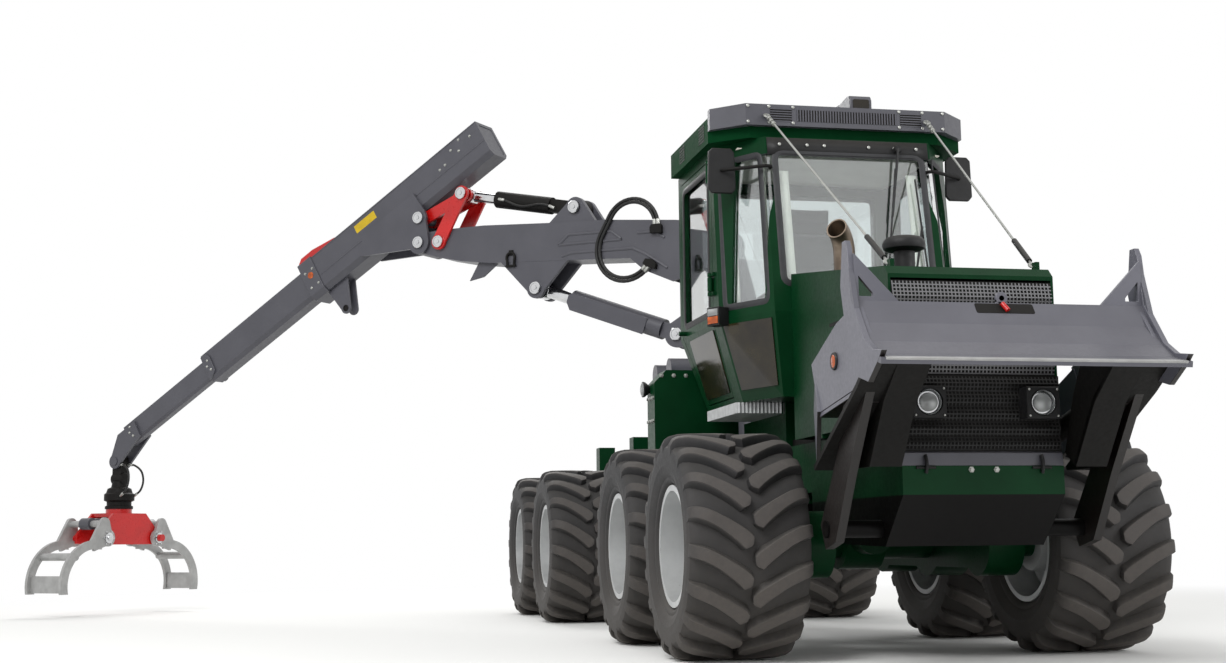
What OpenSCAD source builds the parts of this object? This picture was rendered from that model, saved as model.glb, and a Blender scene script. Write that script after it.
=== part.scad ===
// Eight-wheel forestry forwarder with a folding timber crane and a raised front blade.
// Millimetres. +Z is up, the front faces -Y and the machine's left side is +X.
// The origin lies on the ground below the steering pivot.

/* [Wheels] */
// Radius of a tyre over its lugs
wheel_r = 550; // [530:1:560]
// Width of a tyre
tyre_w = 600; // [560:2:620]
// Distance from the centreline to the outer face of a tyre
half_track = 1220; // [1200:5:1260]
// Distance from the steering pivot to the nearer axle of each bogie
axle_near = 1350; // [1320:5:1400]
// Distance between the two axles of one bogie
bogie_span = 1350; // [1300:5:1400]
// Radius of the bead seat of a rim
seat_r = 286; // [280:1:290]
// Height of a rim flange over its bead seat
flange_h = 12; // [8:1:16]
// Radius of a wheel spindle
spindle_r = 70; // [60:1:80]

/* [Frames] */
// Distance from the centreline to the outside of a frame rail
rail_x = 340; // [320:5:360]
// Thickness of a frame rail
rail_t = 40; // [30:1:50]
// Height of the underside of the rails
rail_z0 = 820; // [800:5:840]
// Height of the top of the rails
rail_z1 = 1080; // [1060:5:1100]
// Front end of the nose box
nose_y = -3736; // [-3760:2:-3720]
// Rear end of the rear frame
tail_y = 3490; // [3400:10:3560]
// Radius of the steering pivot pin
steer_pin_r = 45; // [35:1:55]
// Radius of the hitch pin hole
hitch_r = 25; // [18:1:30]

/* [Cab] */
// Height of the cab floor's underside
floor_z = 1330; // [1310:5:1350]
// Height of the cab's waist line
waist_z = 1790; // [1750:5:1830]
// Height of the top of the cab walls
cab_top_z = 2790; // [2760:5:2820]
// Thickness of the cab walls
wall_t = 42; // [34:1:50]
// Half width of the cab at its waist
cab_w = 700; // [680:5:720]
// Half width of the cab at its floor
cab_floor_w = 580; // [560:5:600]
// Thickness of the window panes
glass_t = 6; // [5:1:10]
// Gap round the door
door_gap = 6; // [5:1:8]
// Height of the roof's upper face
roof_z = 2960; // [2930:5:2990]

/* [Hood] */
// Half width of the hood
hood_w = 400; // [390:2:410]
// Height of the hood at the cab
hood_z1 = 1990; // [1960:5:2020]
// Height of the hood at its front edge
hood_z0 = 1800; // [1780:5:1830]
// Thickness of the hood's sheet
hood_t = 12; // [8:1:16]

/* [Blade] */
// Height of the blade arms' pivot
blade_pivot_z = 620; // [600:5:640]
// Radius of the blade arms' pivot shaft
blade_pin_r = 40; // [32:1:45]
// Half width of the blade
blade_w = 690; // [660:5:720]
// Thickness of the mouldboard
board_t = 22; // [16:1:30]

/* [Crane] */
// Distance of the crane column behind the steering pivot
col_y = 500; // [480:5:540]
// Slew of the crane as it is parked, from straight back towards the right side
slew = 50; // [40:1:60]
// Slope of the jib as it is parked
jib_slope = 30; // [26:1:34]
// Half width of the main boom
boom_w = 115; // [105:1:120]
// Height of the jib's base tube
jib_h = 320; // [300:2:340]
// Width of the jib's base tube
jib_w = 240; // [230:2:250]
// Height of the first extension
ext1_h = 250; // [240:2:256]
// Height of the second extension
ext2_h = 180; // [170:2:186]
// Radius of the large crane pins
pin_r = 45; // [38:1:50]
// Radius of the link pins
link_pin_r = 38; // [30:1:42]
// Height of the claws' pivots as parked
claw_z = 650; // [630:5:680]

/* [Hidden] */
$fn = 48;
fit = 0.05;
seat_gap = 0.3;
wheel_x = half_track - tyre_w / 2;
wheel_z = wheel_r;
bogie_y = axle_near + bogie_span / 2;
rim_half = 245;
flange_t = 17;
beam_x0 = 400;
beam_x1 = half_track - tyre_w - 30;
axle_r = 130;
axle_z = wheel_z + 50;
steer_z0 = 560;
steer_z1 = 1030;
ear_t = 40;
cab_front_y = -2250;
cab_rear_y = -950;
hood_y0 = nose_y + 56;
hood_z = 1100;
stack = [-290, -2800];
stack_r = 55;
intake = [70, -2700];
intake_r = 55;
hood_y1 = cab_front_y - seat_gap;
visor_z = 2855;
blade_pivot_y = -3450;
arm_x1 = blade_w - 50;
arm_x0 = arm_x1 - 40;
cyl_x = arm_x0 - 110;
boom_p = [40, 2660];
elbow = [2588, 2915];
jib_pin = [2590, 3112];
link_a = [2401, 2904];
link_p = [2189, 3264];
jcyl_p = [1194, 3052];
lift_lo = [369, 2040];
lift_hi = [1531, 2469];
jib_c = 374;
jib_x0 = -898;
jib_x1 = jib_x0 + 2000;
slide_gap = 6;
jib_wall = (jib_h - ext1_h) / 2 - slide_gap;
ext1_w = jib_w - 2 * jib_wall - 2 * slide_gap;
ext1_x1 = 2361;
ext1_x0 = ext1_x1 - 2000;
ext1_wall = (ext1_h - ext2_h) / 2 - slide_gap;
ext2_w = ext1_w - 2 * ext1_wall - 2 * slide_gap;
ext2_x1 = 3428;
ext2_x0 = ext2_x1 - 1900;
tip = [3639, 249];
tip_r = elbow[0] + tip[0] * cos(jib_slope) + tip[1] * sin(jib_slope);
tip_z = elbow[1] - tip[0] * sin(jib_slope) + tip[1] * cos(jib_slope);
tip_pin_r = 35;
layer_a0 = boom_w + 5;
layer_a1 = layer_a0 + 22;
claw_w = 310;
claw_pin_r = 30;
strut_r = 50;
hose_r = 13;
ear = [claw_w + 40, claw_z + 120];

green = [0.10, 0.22, 0.13];
graphite = [0.22, 0.22, 0.22];
soot = [0.10, 0.10, 0.09];
red = [0.62, 0.10, 0.08];
silver = [0.70, 0.70, 0.69];
rubber = [0.09, 0.09, 0.09];
pane = [0.35, 0.40, 0.40, 0.4];
chrome = [0.82, 0.82, 0.82];

// Cylinder along X, centred on [y, z], from x0 to x1.
module rod_x(r, x0, x1, y, z) {
    translate([x0, y, z]) rotate([0, 90, 0]) cylinder(r = r, h = x1 - x0);
}

// Cylinder along Y, centred on [x, z], from y0 to y1.
module rod_y(r, y0, y1, x, z) {
    translate([x, y0, z]) rotate([-90, 0, 0]) cylinder(r = r, h = y1 - y0);
}

// Box from its low corner to its high corner.
module block(a, b) {
    translate(a) cube(b - a);
}

// Same shape on both sides of the centreline.
module both_x() {
    children();
    mirror([1, 0, 0]) children();
}

// Plate drawn as [y, z] and standing across X from x0 to x1.
module plate_x(x0, x1) {
    translate([x0, 0, 0]) rotate([90, 0, 90]) linear_extrude(x1 - x0) children();
}

// Crane frame: +X runs along the boom away from the column, +Y across it.
module crane() {
    translate([0, col_y, 0]) rotate([0, 0, 90 + slew]) children();
}

// Plate drawn as [r, z] in the crane frame, from w0 to w1 across it.
module plate_w(w0, w1) {
    translate([0, w1, 0]) rotate([90, 0, 0]) linear_extrude(w1 - w0) children();
}

// Pair of plates on both sides of the crane plane.
module plate_pair(w0, w1) {
    plate_w(w0, w1) children();
    plate_w(-w1, -w0) children();
}

// Pin across the crane plane at [r, z].
module pin_w(p, r, w0, w1) {
    translate([p[0], w0, p[1]]) rotate([-90, 0, 0]) cylinder(r = r, h = w1 - w0);
}

// Flat bar with round ends between two points.
module bar2(a, b, ra, rb) {
    d = b - a;
    l = norm(d);
    waist = 0.94;
    translate(a) circle(ra);
    translate(b) circle(rb);
    translate(a) rotate(atan2(d[1], d[0]))
        polygon([[0, waist * ra], [l, waist * rb], [l, -waist * rb], [0, -waist * ra]]);
}

// Jib frame: origin on the elbow pin, +X along the jib.
module jib_frame() {
    crane() translate([elbow[0], 0, elbow[1]]) rotate([0, jib_slope, 0]) children();
}

// Grapple frame: origin below the crane's tip on the ground.
module grapple() {
    crane() translate([tip_r, 0, 0]) children();
}

// Plate drawn as [w, z] and standing across the claw pins from u0 to u1.
module plate_u(u0, u1) {
    translate([u0, 0, 0]) rotate([90, 0, 90]) linear_extrude(u1 - u0) children();
}

// Wheels

module tyre_section() {
    polygon([[seat_r + seat_gap, -rim_half + seat_gap], [seat_r + seat_gap, rim_half - seat_gap],
        [seat_r + flange_h + 2, rim_half - seat_gap], [seat_r + flange_h + 10, rim_half + flange_t + 4],
        [345, tyre_w / 2 - 12], [400, tyre_w / 2], [470, tyre_w / 2], [520, tyre_w / 2 - 12],
        [wheel_r, tyre_w / 2 - 42], [wheel_r, -tyre_w / 2 + 42], [520, -tyre_w / 2 + 12],
        [470, -tyre_w / 2], [400, -tyre_w / 2], [345, -tyre_w / 2 + 12],
        [seat_r + flange_h + 10, -rim_half - flange_t - 4], [seat_r + flange_h + 2, -rim_half + seat_gap]]);
}

module wheel_at(y, side) {
    translate([side * wheel_x, y, wheel_z]) rotate([0, side * 90, 0]) children();
}

module tyre(y, side) {
    color(rubber) wheel_at(y, side) rotate_extrude($fn = 96) tyre_section();
}

module rim(y, side) {
    color(silver) wheel_at(y, side) difference() {
        rotate_extrude($fn = 96) polygon([
            [0, -100], [150, -100], [225, -84], [225, 20], [262, 60], [270, rim_half + flange_t],
            [seat_r + flange_h, rim_half + flange_t], [seat_r + flange_h, rim_half], [seat_r, rim_half],
            [seat_r, -rim_half], [seat_r + flange_h, -rim_half], [seat_r + flange_h, -rim_half - flange_t],
            [272, -rim_half - flange_t], [272, 30], [240, 0], [240, -116], [150, -126], [140, -230], [0, -230]]);
        translate([0, 0, -231]) cylinder(r = spindle_r + fit, h = 231 - 112);
    }
}

module tyre_1r() { tyre(-axle_near - bogie_span, -1); }
module tyre_1l() { tyre(-axle_near - bogie_span, 1); }
module tyre_2r() { tyre(-axle_near, -1); }
module tyre_2l() { tyre(-axle_near, 1); }
module tyre_3r() { tyre(axle_near, -1); }
module tyre_3l() { tyre(axle_near, 1); }
module tyre_4r() { tyre(axle_near + bogie_span, -1); }
module tyre_4l() { tyre(axle_near + bogie_span, 1); }
module rim_1r() { rim(-axle_near - bogie_span, -1); }
module rim_1l() { rim(-axle_near - bogie_span, 1); }
module rim_2r() { rim(-axle_near, -1); }
module rim_2l() { rim(-axle_near, 1); }
module rim_3r() { rim(axle_near, -1); }
module rim_3l() { rim(axle_near, 1); }
module rim_4r() { rim(axle_near + bogie_span, -1); }
module rim_4l() { rim(axle_near + bogie_span, 1); }

// Bogie beams, axle tube and final drive of one end, centred on y.
module bogies(y) {
    both_x() {
        plate_x(beam_x0, beam_x1) {
            for (s = [-1, 1]) translate([y + s * bogie_span / 2, wheel_z]) circle(165);
            translate([y - bogie_span / 2, wheel_z - 125]) square([bogie_span, 250]);
            translate([y, axle_z]) circle(225);
        }
        for (s = [-1, 1])
            rod_x(spindle_r, beam_x1 - 1, wheel_x - 116, y + s * bogie_span / 2, wheel_z);
    }
    rod_x(axle_r, -beam_x0 - 1, beam_x0 + 1, y, axle_z);
    rod_x(185, -110, 110, y, axle_z);
    rod_y(105, y - 300, y + 300, 0, axle_z);
}

module front_bogies() { color(green) bogies(-bogie_y); }
module rear_bogies() { color(green) bogies(bogie_y); }

// Seat of one axle tube under the rails.
module axle_saddle(y) {
    difference() {
        both_x() block([rail_x - 110, y - 170, axle_z], [rail_x, y + 170, rail_z0 + 1]);
        rod_x(axle_r + seat_gap, -rail_x - 10, rail_x + 10, y, axle_z);
    }
}

// Front frame

module front_frame() {
    color(green) {
        difference() {
            union() {
                both_x() block([rail_x - rail_t, nose_y + 300, rail_z0], [rail_x, -420, rail_z1]);
                for (y = [-2700, -1500, -900])
                    block([-rail_x, y, rail_z0], [rail_x, y + 60, rail_z1]);
                axle_saddle(-bogie_y);
                plate_x(-383, 383) polygon([[nose_y, 765], [nose_y, 892], [nose_y + 42, 892], [nose_y + 42, 930],
                    [nose_y + 301, 930], [nose_y + 301, rail_z1], [nose_y + 420, rail_z1], [nose_y + 420, 930],
                    [-2460, 820], [-2460, 560], [-3500, 540]]);
                block([-rail_x, -460, steer_z0], [rail_x, -420, rail_z1]);
                for (z = [steer_z0, steer_z1 - ear_t]) translate([0, 0, z]) linear_extrude(ear_t) {
                    circle(130);
                    polygon([[-240, -421], [240, -421], [120, 50], [-120, 50]]);
                }
            }
            translate([0, 0, steer_z0 - 1]) cylinder(r = steer_pin_r + fit, h = steer_z1 - steer_z0 + 2);
        }
        rod_x(blade_pin_r, -arm_x1 - 10, arm_x1 + 10, blade_pivot_y, blade_pivot_z);
        both_x() rod_x(30, 382, cyl_x + 50, bcyl_a[0], bcyl_a[1]);
        both_x() block([382, -3400, 930], [402, -3260, 1090]);
        both_x() block([rail_x - 1, -3400, 930], [383, -3260, 1090]);
        both_x() block([rail_x - 60, -1900, rail_z1 - 1], [rail_x, -1050, floor_z - 60]);
        both_x() block([rail_x - 60, -2700, rail_z1 - 1], [hood_w, -2600, hood_z - seat_gap]);
    }
}

module engine() {
    color(soot) block([-rail_x + 60 + seat_gap, -3150, rail_z1 + seat_gap], [rail_x - 60 - seat_gap, -2330, 1760]);
}

// Hood

module hood_side() {
    polygon([[hood_y0, 1300], [hood_y0, hood_z0 - 40], [hood_y0 + 40, hood_z0], [hood_y1, hood_z1],
        [hood_y1, hood_z], [-3300, hood_z], [-3300, 1300]]);
}

module hood() {
    color(green) difference() {
        plate_x(-hood_w, hood_w) hood_side();
        plate_x(-hood_w + hood_t, hood_w - hood_t)
            polygon([[hood_y0 - 1, 1299], [hood_y0 - 1, hood_z0 - 60], [hood_y0 + 45, hood_z0 - hood_t],
                [hood_y1 - hood_t, hood_z1 - hood_t - 3], [hood_y1 - hood_t, hood_z - 1], [-3301, hood_z - 1],
                [-3301, 1299]]);
        translate([stack[0], stack[1], 1700]) cylinder(r = stack_r + seat_gap, h = 400);
        translate([intake[0], intake[1], 1700]) cylinder(r = intake_r + seat_gap, h = 400);
    }
    color(green) both_x() block([345, -3625, 1792], [365, -3585, 1838]);
}

module grilles() {
    color(soot) {
        block([-hood_w + hood_t + seat_gap, hood_y0, 1302], [hood_w - hood_t - seat_gap, hood_y0 + 20, hood_z0 - 70]);
        block([-388, nose_y + 24, 930 + seat_gap], [388, nose_y + 46, 1298]);
    }
}

module lamps() {
    color(silver) {
        both_x() block([219, nose_y - 64, 1115], [319, nose_y + 24 - seat_gap, 1225]);
    }
}

module exhaust() {
    color(silver) {
        translate([stack[0], stack[1], 1860]) cylinder(r = stack_r, h = 180);
        translate([stack[0], stack[1], 2040]) rotate([60, 0, 145]) cylinder(r = 45, h = 150);
        translate([stack[0], stack[1], 2040]) sphere(r = stack_r);
    }
}

module air_intake() {
    color(soot) translate([intake[0], intake[1], 1915]) {
        cylinder(r = intake_r, h = 150);
        translate([0, 0, 140]) cylinder(r = 100, h = 70);
    }
}

// Cab

function cab_plan(a, b, r, ya, yb, yr) = [[-a, ya], [a, ya], [b, yb], [r, yr], [-r, yr], [-b, yb]];
cab_floor_plan = cab_plan(459, cab_floor_w, cab_floor_w, cab_front_y, -1890, -1130);
cab_waist_plan = cab_plan(494, cab_w, cab_w, cab_front_y, -1870, cab_rear_y);
cab_top_plan = cab_plan(480, cab_w, cab_w, -2080, -1760, cab_rear_y);

// Slab of a cab outline, drawn in by t.
module cab_slice(pts, z, t) {
    translate([0, 0, z]) linear_extrude(1) offset(delta = -t) polygon(pts);
}

// Closed form of the cab, drawn in by t, from z0 at the floor to z1 at the top.
module cab_form(t, z0, z1) {
    hull() {
        cab_slice(cab_floor_plan, z0, t);
        cab_slice(cab_waist_plan, waist_z - 1, t);
    }
    hull() {
        cab_slice(cab_waist_plan, waist_z - 1, t);
        cab_slice(cab_top_plan, z1 - 1, t);
    }
}

corner_mid = [(494 + cab_w) / 2, (cab_front_y - 1870) / 2];
corner_turn = atan2(380, cab_w - 494);

// Window openings of the fixed walls, run right through them.
module window_cuts() {
    block([-430, -2500, 1945], [430, -1950, 2700]);
    block([-560, cab_rear_y - 120, 1850], [560, cab_rear_y + 120, 2700]);
    both_x() translate(corner_mid) rotate([0, 0, corner_turn - 90]) {
        block([-300, -140, waist_z + 60], [400, 120, 2690]);
        block([-300, -140, floor_z + 120], [400, 120, waist_z - 70]);
    }
    block([400, -1690, waist_z + 60], [900, -1050, 2700]);
    block([400, -1690, floor_z + 120], [900, -1210, waist_z - 70]);
}

// Window openings of the door.
module door_cuts() {
    block([-900, -1660, waist_z + 60], [-400, -1070, 2680]);
    block([-900, -1660, floor_z + 120], [-400, -1220, waist_z - 70]);
}

module door_outline() {
    polygon([[-1740, floor_z + 36], [-1190, floor_z + 36], [-1010, waist_z + 10],
        [-1010, cab_top_z - 55], [-1740, cab_top_z - 55]]);
}

module hinge_places() {
    for (z = [waist_z + 150, cab_top_z - 200]) translate([-cab_w - 18, -1748, z]) children();
}

module cab_frame() {
    color(green) {
        difference() {
            cab_form(0, floor_z, cab_top_z);
            cab_form(wall_t, floor_z + wall_t, cab_top_z + 2);
            window_cuts();
            plate_x(-900, -500) door_outline();
        }
        hinge_places() {
            cylinder(r = 8, h = 130);
            for (z = [0, 110]) translate([0, 0, z]) {
                cylinder(r = 16, h = 20);
                translate([0, -50, 0]) cube([20, 50, 20]);
            }
        }
        both_x() block([rail_x - 60, -1900, floor_z - 60], [rail_x, -1200, floor_z + 1]);
    }
}

module door() {
    color(green) {
        difference() {
            intersection() {
                difference() {
                    cab_form(0, floor_z, cab_top_z);
                    cab_form(wall_t, floor_z + wall_t, cab_top_z + 2);
                }
                plate_x(-900, -500) offset(delta = -door_gap) door_outline();
            }
            door_cuts();
        }
        difference() {
            hinge_places() {
                translate([0, 0, 26]) cylinder(r = 16, h = 78);
                translate([0, 0, 26]) cube([17.5, 48, 78]);
                translate([0, 24, 26]) cube([20, 24, 78]);
            }
            hinge_places() cylinder(r = 8 + fit, h = 130);
        }
        rod_x(14, -cab_w - 45, -cab_w + 1, -1090, waist_z + 20);
    }
}

// Panes lie in the middle of the walls.
module pane_form() {
    difference() {
        cab_form(wall_t / 2 - glass_t / 2, floor_z, cab_top_z);
        cab_form(wall_t / 2 + glass_t / 2, floor_z - 2, cab_top_z + 2);
    }
}

module cab_glass() {
    color(pane) intersection() {
        pane_form();
        window_cuts();
    }
}

module door_glass() {
    color(pane) intersection() {
        pane_form();
        door_cuts();
    }
}

module cab_roof() {
    color(green) difference() {
        union() {
            translate([0, 0, cab_top_z]) linear_extrude(roof_z - 25 - cab_top_z)
                polygon([[-555, -2040], [555, -2040], [750, -1880], [750, -970], [-750, -970], [-750, -1880]]);
            translate([0, 0, roof_z - 26]) linear_extrude(26)
                polygon([[-540, -2040], [540, -2040], [715, -1870], [715, -1000], [-715, -1000], [-715, -1870]]);
        }
        translate([0, 0, cab_top_z - 1]) linear_extrude(60)
            polygon([[-420, -1960], [420, -1960], [620, -1740], [620, -1040], [-620, -1040], [-620, -1740]]);
    }
}

module roof_visor() {
    color(soot) {
        translate([0, 0, visor_z]) linear_extrude(120)
            polygon([[-585, -2080], [585, -2080], [750, -1925], [750, -1880.4], [555, -2040.4],
                [-555, -2040.4], [-750, -1880.4], [-750, -1925]]);
        block([40, -1840, roof_z], [170, -1720, roof_z + 95]);
    }
}

module cab_interior() {
    color(soot) {
        block([-250, -1750, floor_z + wall_t], [250, -1350, floor_z + wall_t + 330]);
        block([-260, -1800, floor_z + wall_t + 330], [260, -1310, floor_z + wall_t + 460]);
        block([-250, -1400, floor_z + wall_t + 460], [250, -1290, floor_z + wall_t + 1080]);
        block([-130, -2160, floor_z + wall_t], [130, -2050, floor_z + wall_t + 520]);
    }
}

module mirrors() {
    color(soot) both_x() {
        translate([620, -2015, 2690]) cylinder(r = 12, h = visor_z - 2690);
        rod_x(12, 620, 700, -2015, 2702);
        block([625, -2006, 2490], [785, -1970, 2745]);
    }
}

module steps() {
    color(silver) both_x() {
        block([rail_x + seat_gap, -1880, floor_z - 60], [cab_floor_w + 30, -1240, floor_z - seat_gap]);
    }
}

module side_boxes() {
    color(green) both_x() {
        translate([0, -930, 0]) rotate([90, 0, 0]) mirror([0, 0, 1]) linear_extrude(200)
            polygon([[rail_x + seat_gap, 1030], [865, 1030], [865, 1530], [790, 1608], [rail_x + seat_gap, 1608]]);
    }
}

module limb_wires() {
    color(soot) both_x() {
        a = [470, -2087, 2915];
        b = [355, -3581.1, 1824];
        d = b - a;
        translate(a) rotate([0, acos(d[2] / norm(d)), atan2(d[1], d[0])]) cylinder(r = 6, h = norm(d));
    }
}

// Blade

module blade() {
    color(graphite) difference() {
        union() {
            plate_x(-blade_w, blade_w)
                polygon([[-4335, 1300], [-4240, 1330], [-4150, 1390], [-4060, 1480], [-3990, 1585],
                    [-3968, 1578], [-4036, 1470], [-4130, 1370], [-4230, 1305], [-4330, 1275]]);
            both_x() plate_x(blade_w - 22, blade_w)
                polygon([[-4240, 1320], [-4060, 1470], [-3940, 1850], [-3910, 1850], [-3930, 1560], [-4050, 1400]]);
            both_x() plate_x(arm_x0, arm_x1)
                polygon([[-4180, 1340], [-4020, 1500], [-3930, 1560], [-3850, 1450], [-3640, 980],
                    [-3360, 640], [-3420, 530], [-3560, 560], [-3760, 860], [-4000, 1180]]);
            both_x() rod_x(30, cyl_x + 30 + seat_gap, arm_x0 + 1, bcyl_b[0], bcyl_b[1]);
        }
        rod_x(blade_pin_r + fit, -arm_x1 - 10, arm_x1 + 10, blade_pivot_y, blade_pivot_z);
    }
}

bcyl_a = [-3330, 1020];
bcyl_b = [-3930, 1180];
bcyl_len = norm(bcyl_b - bcyl_a);
bcyl_turn = atan2(bcyl_b[1] - bcyl_a[1], bcyl_b[0] - bcyl_a[0]);

// Blade cylinder frame: origin on the barrel's pin, +X towards the rod's eye.
module blade_cyl(side) {
    translate([side * cyl_x, bcyl_a[0], bcyl_a[1]]) rotate([bcyl_turn, 0, 0]) rotate([0, 0, 90]) children();
}

module blade_barrels() {
    color(soot) for (s = [-1, 1]) blade_cyl(s) difference() {
        union() {
            rotate([90, 0, 0]) cylinder(r = 52, h = 70, center = true);
            rotate([0, 90, 0]) cylinder(r = 48, h = 545);
        }
        rotate([90, 0, 0]) cylinder(r = 30 + fit, h = 200, center = true);
        translate([60, 0, 0]) rotate([0, 90, 0]) cylinder(r = 25 + fit, h = 500);
    }
}

module blade_rods() {
    color(chrome) for (s = [-1, 1]) blade_cyl(s) difference() {
        union() {
            translate([65, 0, 0]) rotate([0, 90, 0]) cylinder(r = 25, h = bcyl_len - 95);
            translate([bcyl_len, 0, 0]) rotate([90, 0, 0]) cylinder(r = 48, h = 60, center = true);
        }
        translate([bcyl_len, 0, 0]) rotate([90, 0, 0]) cylinder(r = 30 + fit, h = 200, center = true);
    }
}

// Rear frame

module rear_frame() {
    color(green) difference() {
        union() {
            translate([0, 0, steer_z0 - 20]) cylinder(r = steer_pin_r, h = steer_z1 - steer_z0 + 40);
            translate([0, 0, steer_z0 + ear_t + 6]) cylinder(r = 115, h = steer_z1 - steer_z0 - 2 * ear_t - 12);
            rod_y(135, 60, 405, 0, (steer_z0 + steer_z1) / 2);
            block([-rail_x, 400, 640], [rail_x, 440, rail_z1]);
            both_x() block([rail_x - rail_t, 400, rail_z0], [rail_x, tail_y - 40, rail_z1]);
            block([-rail_x, 190, rail_z1 - 1], [rail_x, 900, rail_z1 + 40]);
            for (y = [880, 1500, 2560, 3000])
                block([-rail_x, y, rail_z0], [rail_x, y + 60, rail_z1]);
            axle_saddle(bogie_y);
            block([-rail_x, tail_y - 40, 760], [rail_x, tail_y, rail_z1]);
            for (z = [800, 900]) block([-90, tail_y - 1, z], [90, tail_y + 120, z + 30]);
        }
        translate([0, tail_y + 70, 700]) cylinder(r = hitch_r, h = 300);
    }
}

module bolsters() {
    color(green) for (y = [axle_near - 140, axle_near + bogie_span - 140]) difference() {
        union() {
            block([-550, y, rail_z1], [550, y + 140, rail_z1 + 130]);
            both_x() block([420, y, rail_z1 + 129], [550, y + 140, rail_z1 + 260]);
        }
        both_x() block([445, y + 25, rail_z1 - 1], [525, y + 115, rail_z1 + 300]);
    }
}

module slew_base() {
    color(graphite) translate([0, col_y, 0]) {
        translate([0, 0, rail_z1 + 40]) cylinder(r = 300, h = 40);
        translate([0, 0, rail_z1 + 60]) cylinder(r = 235, h = 1850 - rail_z1 - 60);
        for (s = [-1, 1]) rod_x(80, -490, 490, s * 215, 1740);
    }
}

// Crane

module column() {
    color(graphite) crane() difference() {
        union() {
            translate([0, 0, 1850 + seat_gap]) cylinder(r = 205, h = 130);
            plate_w(-85, 85) {
                polygon([[-200, 1900], [215, 1900], [300, 2110], [165, 2660], [-85, 2660], [-205, 2200]]);
                translate(boom_p) circle(125);
            }
            plate_pair(58, 85) {
                translate(lift_lo) circle(95);
                polygon([[100, 1920], [lift_lo[0] + 40, lift_lo[1] - 86], [lift_lo[0] + 40, lift_lo[1] + 86], [100, 2300]]);
            }
        }
        pin_w(boom_p, pin_r + fit, -200, 200);
        pin_w(lift_lo, pin_r + fit, -200, 200);
        plate_w(-58, 58) translate([lift_lo[0] - 110, lift_lo[1] - 130]) square([300, 400]);
    }
}

module boom_side() {
    polygon([[-40, 2760], [150, 2830], [347, 2864], [939, 2927], [1388, 2951], [2001, 2994], [2400, 3000],
        [2590, 2990], [2590, 2840], [2400, 2780], [2206, 2736], [1944, 2696], [1250, 2654], [724, 2620],
        [609, 2521], [382, 2420], [150, 2480], [-40, 2560]]);
    translate(boom_p) circle(130);
    translate(elbow) circle(92);
}

module boom() {
    color(graphite) crane() difference() {
        union() {
            plate_w(-boom_w, boom_w) boom_side();
            plate_pair(58, boom_w - 12) {
                translate(jcyl_p) circle(78);
                polygon([[1020, 2930], [jcyl_p[0] - 70, jcyl_p[1] + 35], [jcyl_p[0] + 70, jcyl_p[1] + 35], [1420, 2950]]);
            }
            plate_pair(82, boom_w - 2) {
                translate(lift_hi) circle(78);
                polygon([[1250, 2660], [lift_hi[0] - 75, lift_hi[1] - 20], [lift_hi[0] + 75, lift_hi[1] - 20], [1850, 2700]]);
            }
        }
        plate_w(-92, 92) polygon([[-200, 2300], [430, 2300], [430, 2700], [250, 3000], [-200, 3000]]);
        pin_w(elbow, pin_r + fit, -200, 200);
        pin_w(link_a, link_pin_r + fit, -200, 200);
        pin_w(jcyl_p, pin_r + fit, -200, 200);
    }
    color(chrome) crane() {
        pin_w(boom_p, pin_r, -boom_w - 8, boom_w + 8);
        for (s = [-1, 1]) pin_w(lift_hi, pin_r, s > 0 ? 60 : -boom_w - 4, s > 0 ? boom_w + 4 : -60);
    }
}

module boom_hoses() {
    color(soot) crane() for (i = [0, 1]) translate([700, boom_w + hose_r + seat_gap, 2840])
        rotate([90, 0, 0]) rotate([0, 0, 180]) rotate_extrude(angle = -150)
            translate([190 + i * (2 * hose_r + seat_gap), 0]) circle(hose_r);
}

lift_len = norm(lift_hi - lift_lo);
lift_turn = atan2(lift_hi[1] - lift_lo[1], lift_hi[0] - lift_lo[0]);
jcyl_len = norm(link_p - jcyl_p);
jcyl_turn = atan2(link_p[1] - jcyl_p[1], link_p[0] - jcyl_p[0]);

// Cylinder frame: origin on the barrel's pin p, +X towards the rod's eye.
module cyl_frame(p, turn) {
    crane() translate([p[0], 0, p[1]]) rotate([0, -turn, 0]) children();
}

// Barrel with an eye and neck on its cross pin and a bore for the rod.
module barrel(eye_r, half_w, neck, r, len, rod_r, pin, pin_w) {
    difference() {
        union() {
            rotate([90, 0, 0]) cylinder(r = eye_r, h = 2 * half_w, center = true);
            translate([0, -half_w + 6, -eye_r * 0.7]) cube([neck + 1, 2 * half_w - 12, eye_r * 1.4]);
            translate([neck, 0, 0]) rotate([0, 90, 0]) cylinder(r = r, h = len - neck);
            rotate([90, 0, 0]) cylinder(r = pin, h = 2 * pin_w, center = true);
        }
        translate([eye_r + 20, 0, 0]) rotate([0, 90, 0]) cylinder(r = rod_r + fit, h = len);
    }
}

// Rod from its piston end to its eye.
module piston_rod(eye_r, half_w, rod_r, x0, x1, pin) {
    difference() {
        union() {
            translate([x0, 0, 0]) rotate([0, 90, 0]) cylinder(r = rod_r, h = x1 - x0);
            translate([x1, 0, 0]) rotate([90, 0, 0]) cylinder(r = eye_r, h = 2 * half_w, center = true);
        }
        translate([x1, 0, 0]) rotate([90, 0, 0]) cylinder(r = pin + fit, h = 300, center = true);
    }
}

module lift_barrel() {
    color(soot) cyl_frame(lift_lo, lift_turn) barrel(80, 52, 150, 75, 950, 45, pin_r, 93);
}

module lift_rod() {
    color(chrome) cyl_frame(lift_lo, lift_turn) piston_rod(72, 50, 45, 318, lift_len, pin_r);
}

module jib_barrel() {
    color(soot) cyl_frame(jcyl_p, jcyl_turn) barrel(72, 50, 260, 65, 760, 40, pin_r, boom_w + 4);
}

module jib_rod() {
    color(chrome) cyl_frame(jcyl_p, jcyl_turn) piston_rod(58, 45, 40, 250, jcyl_len, link_pin_r);
}

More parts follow.
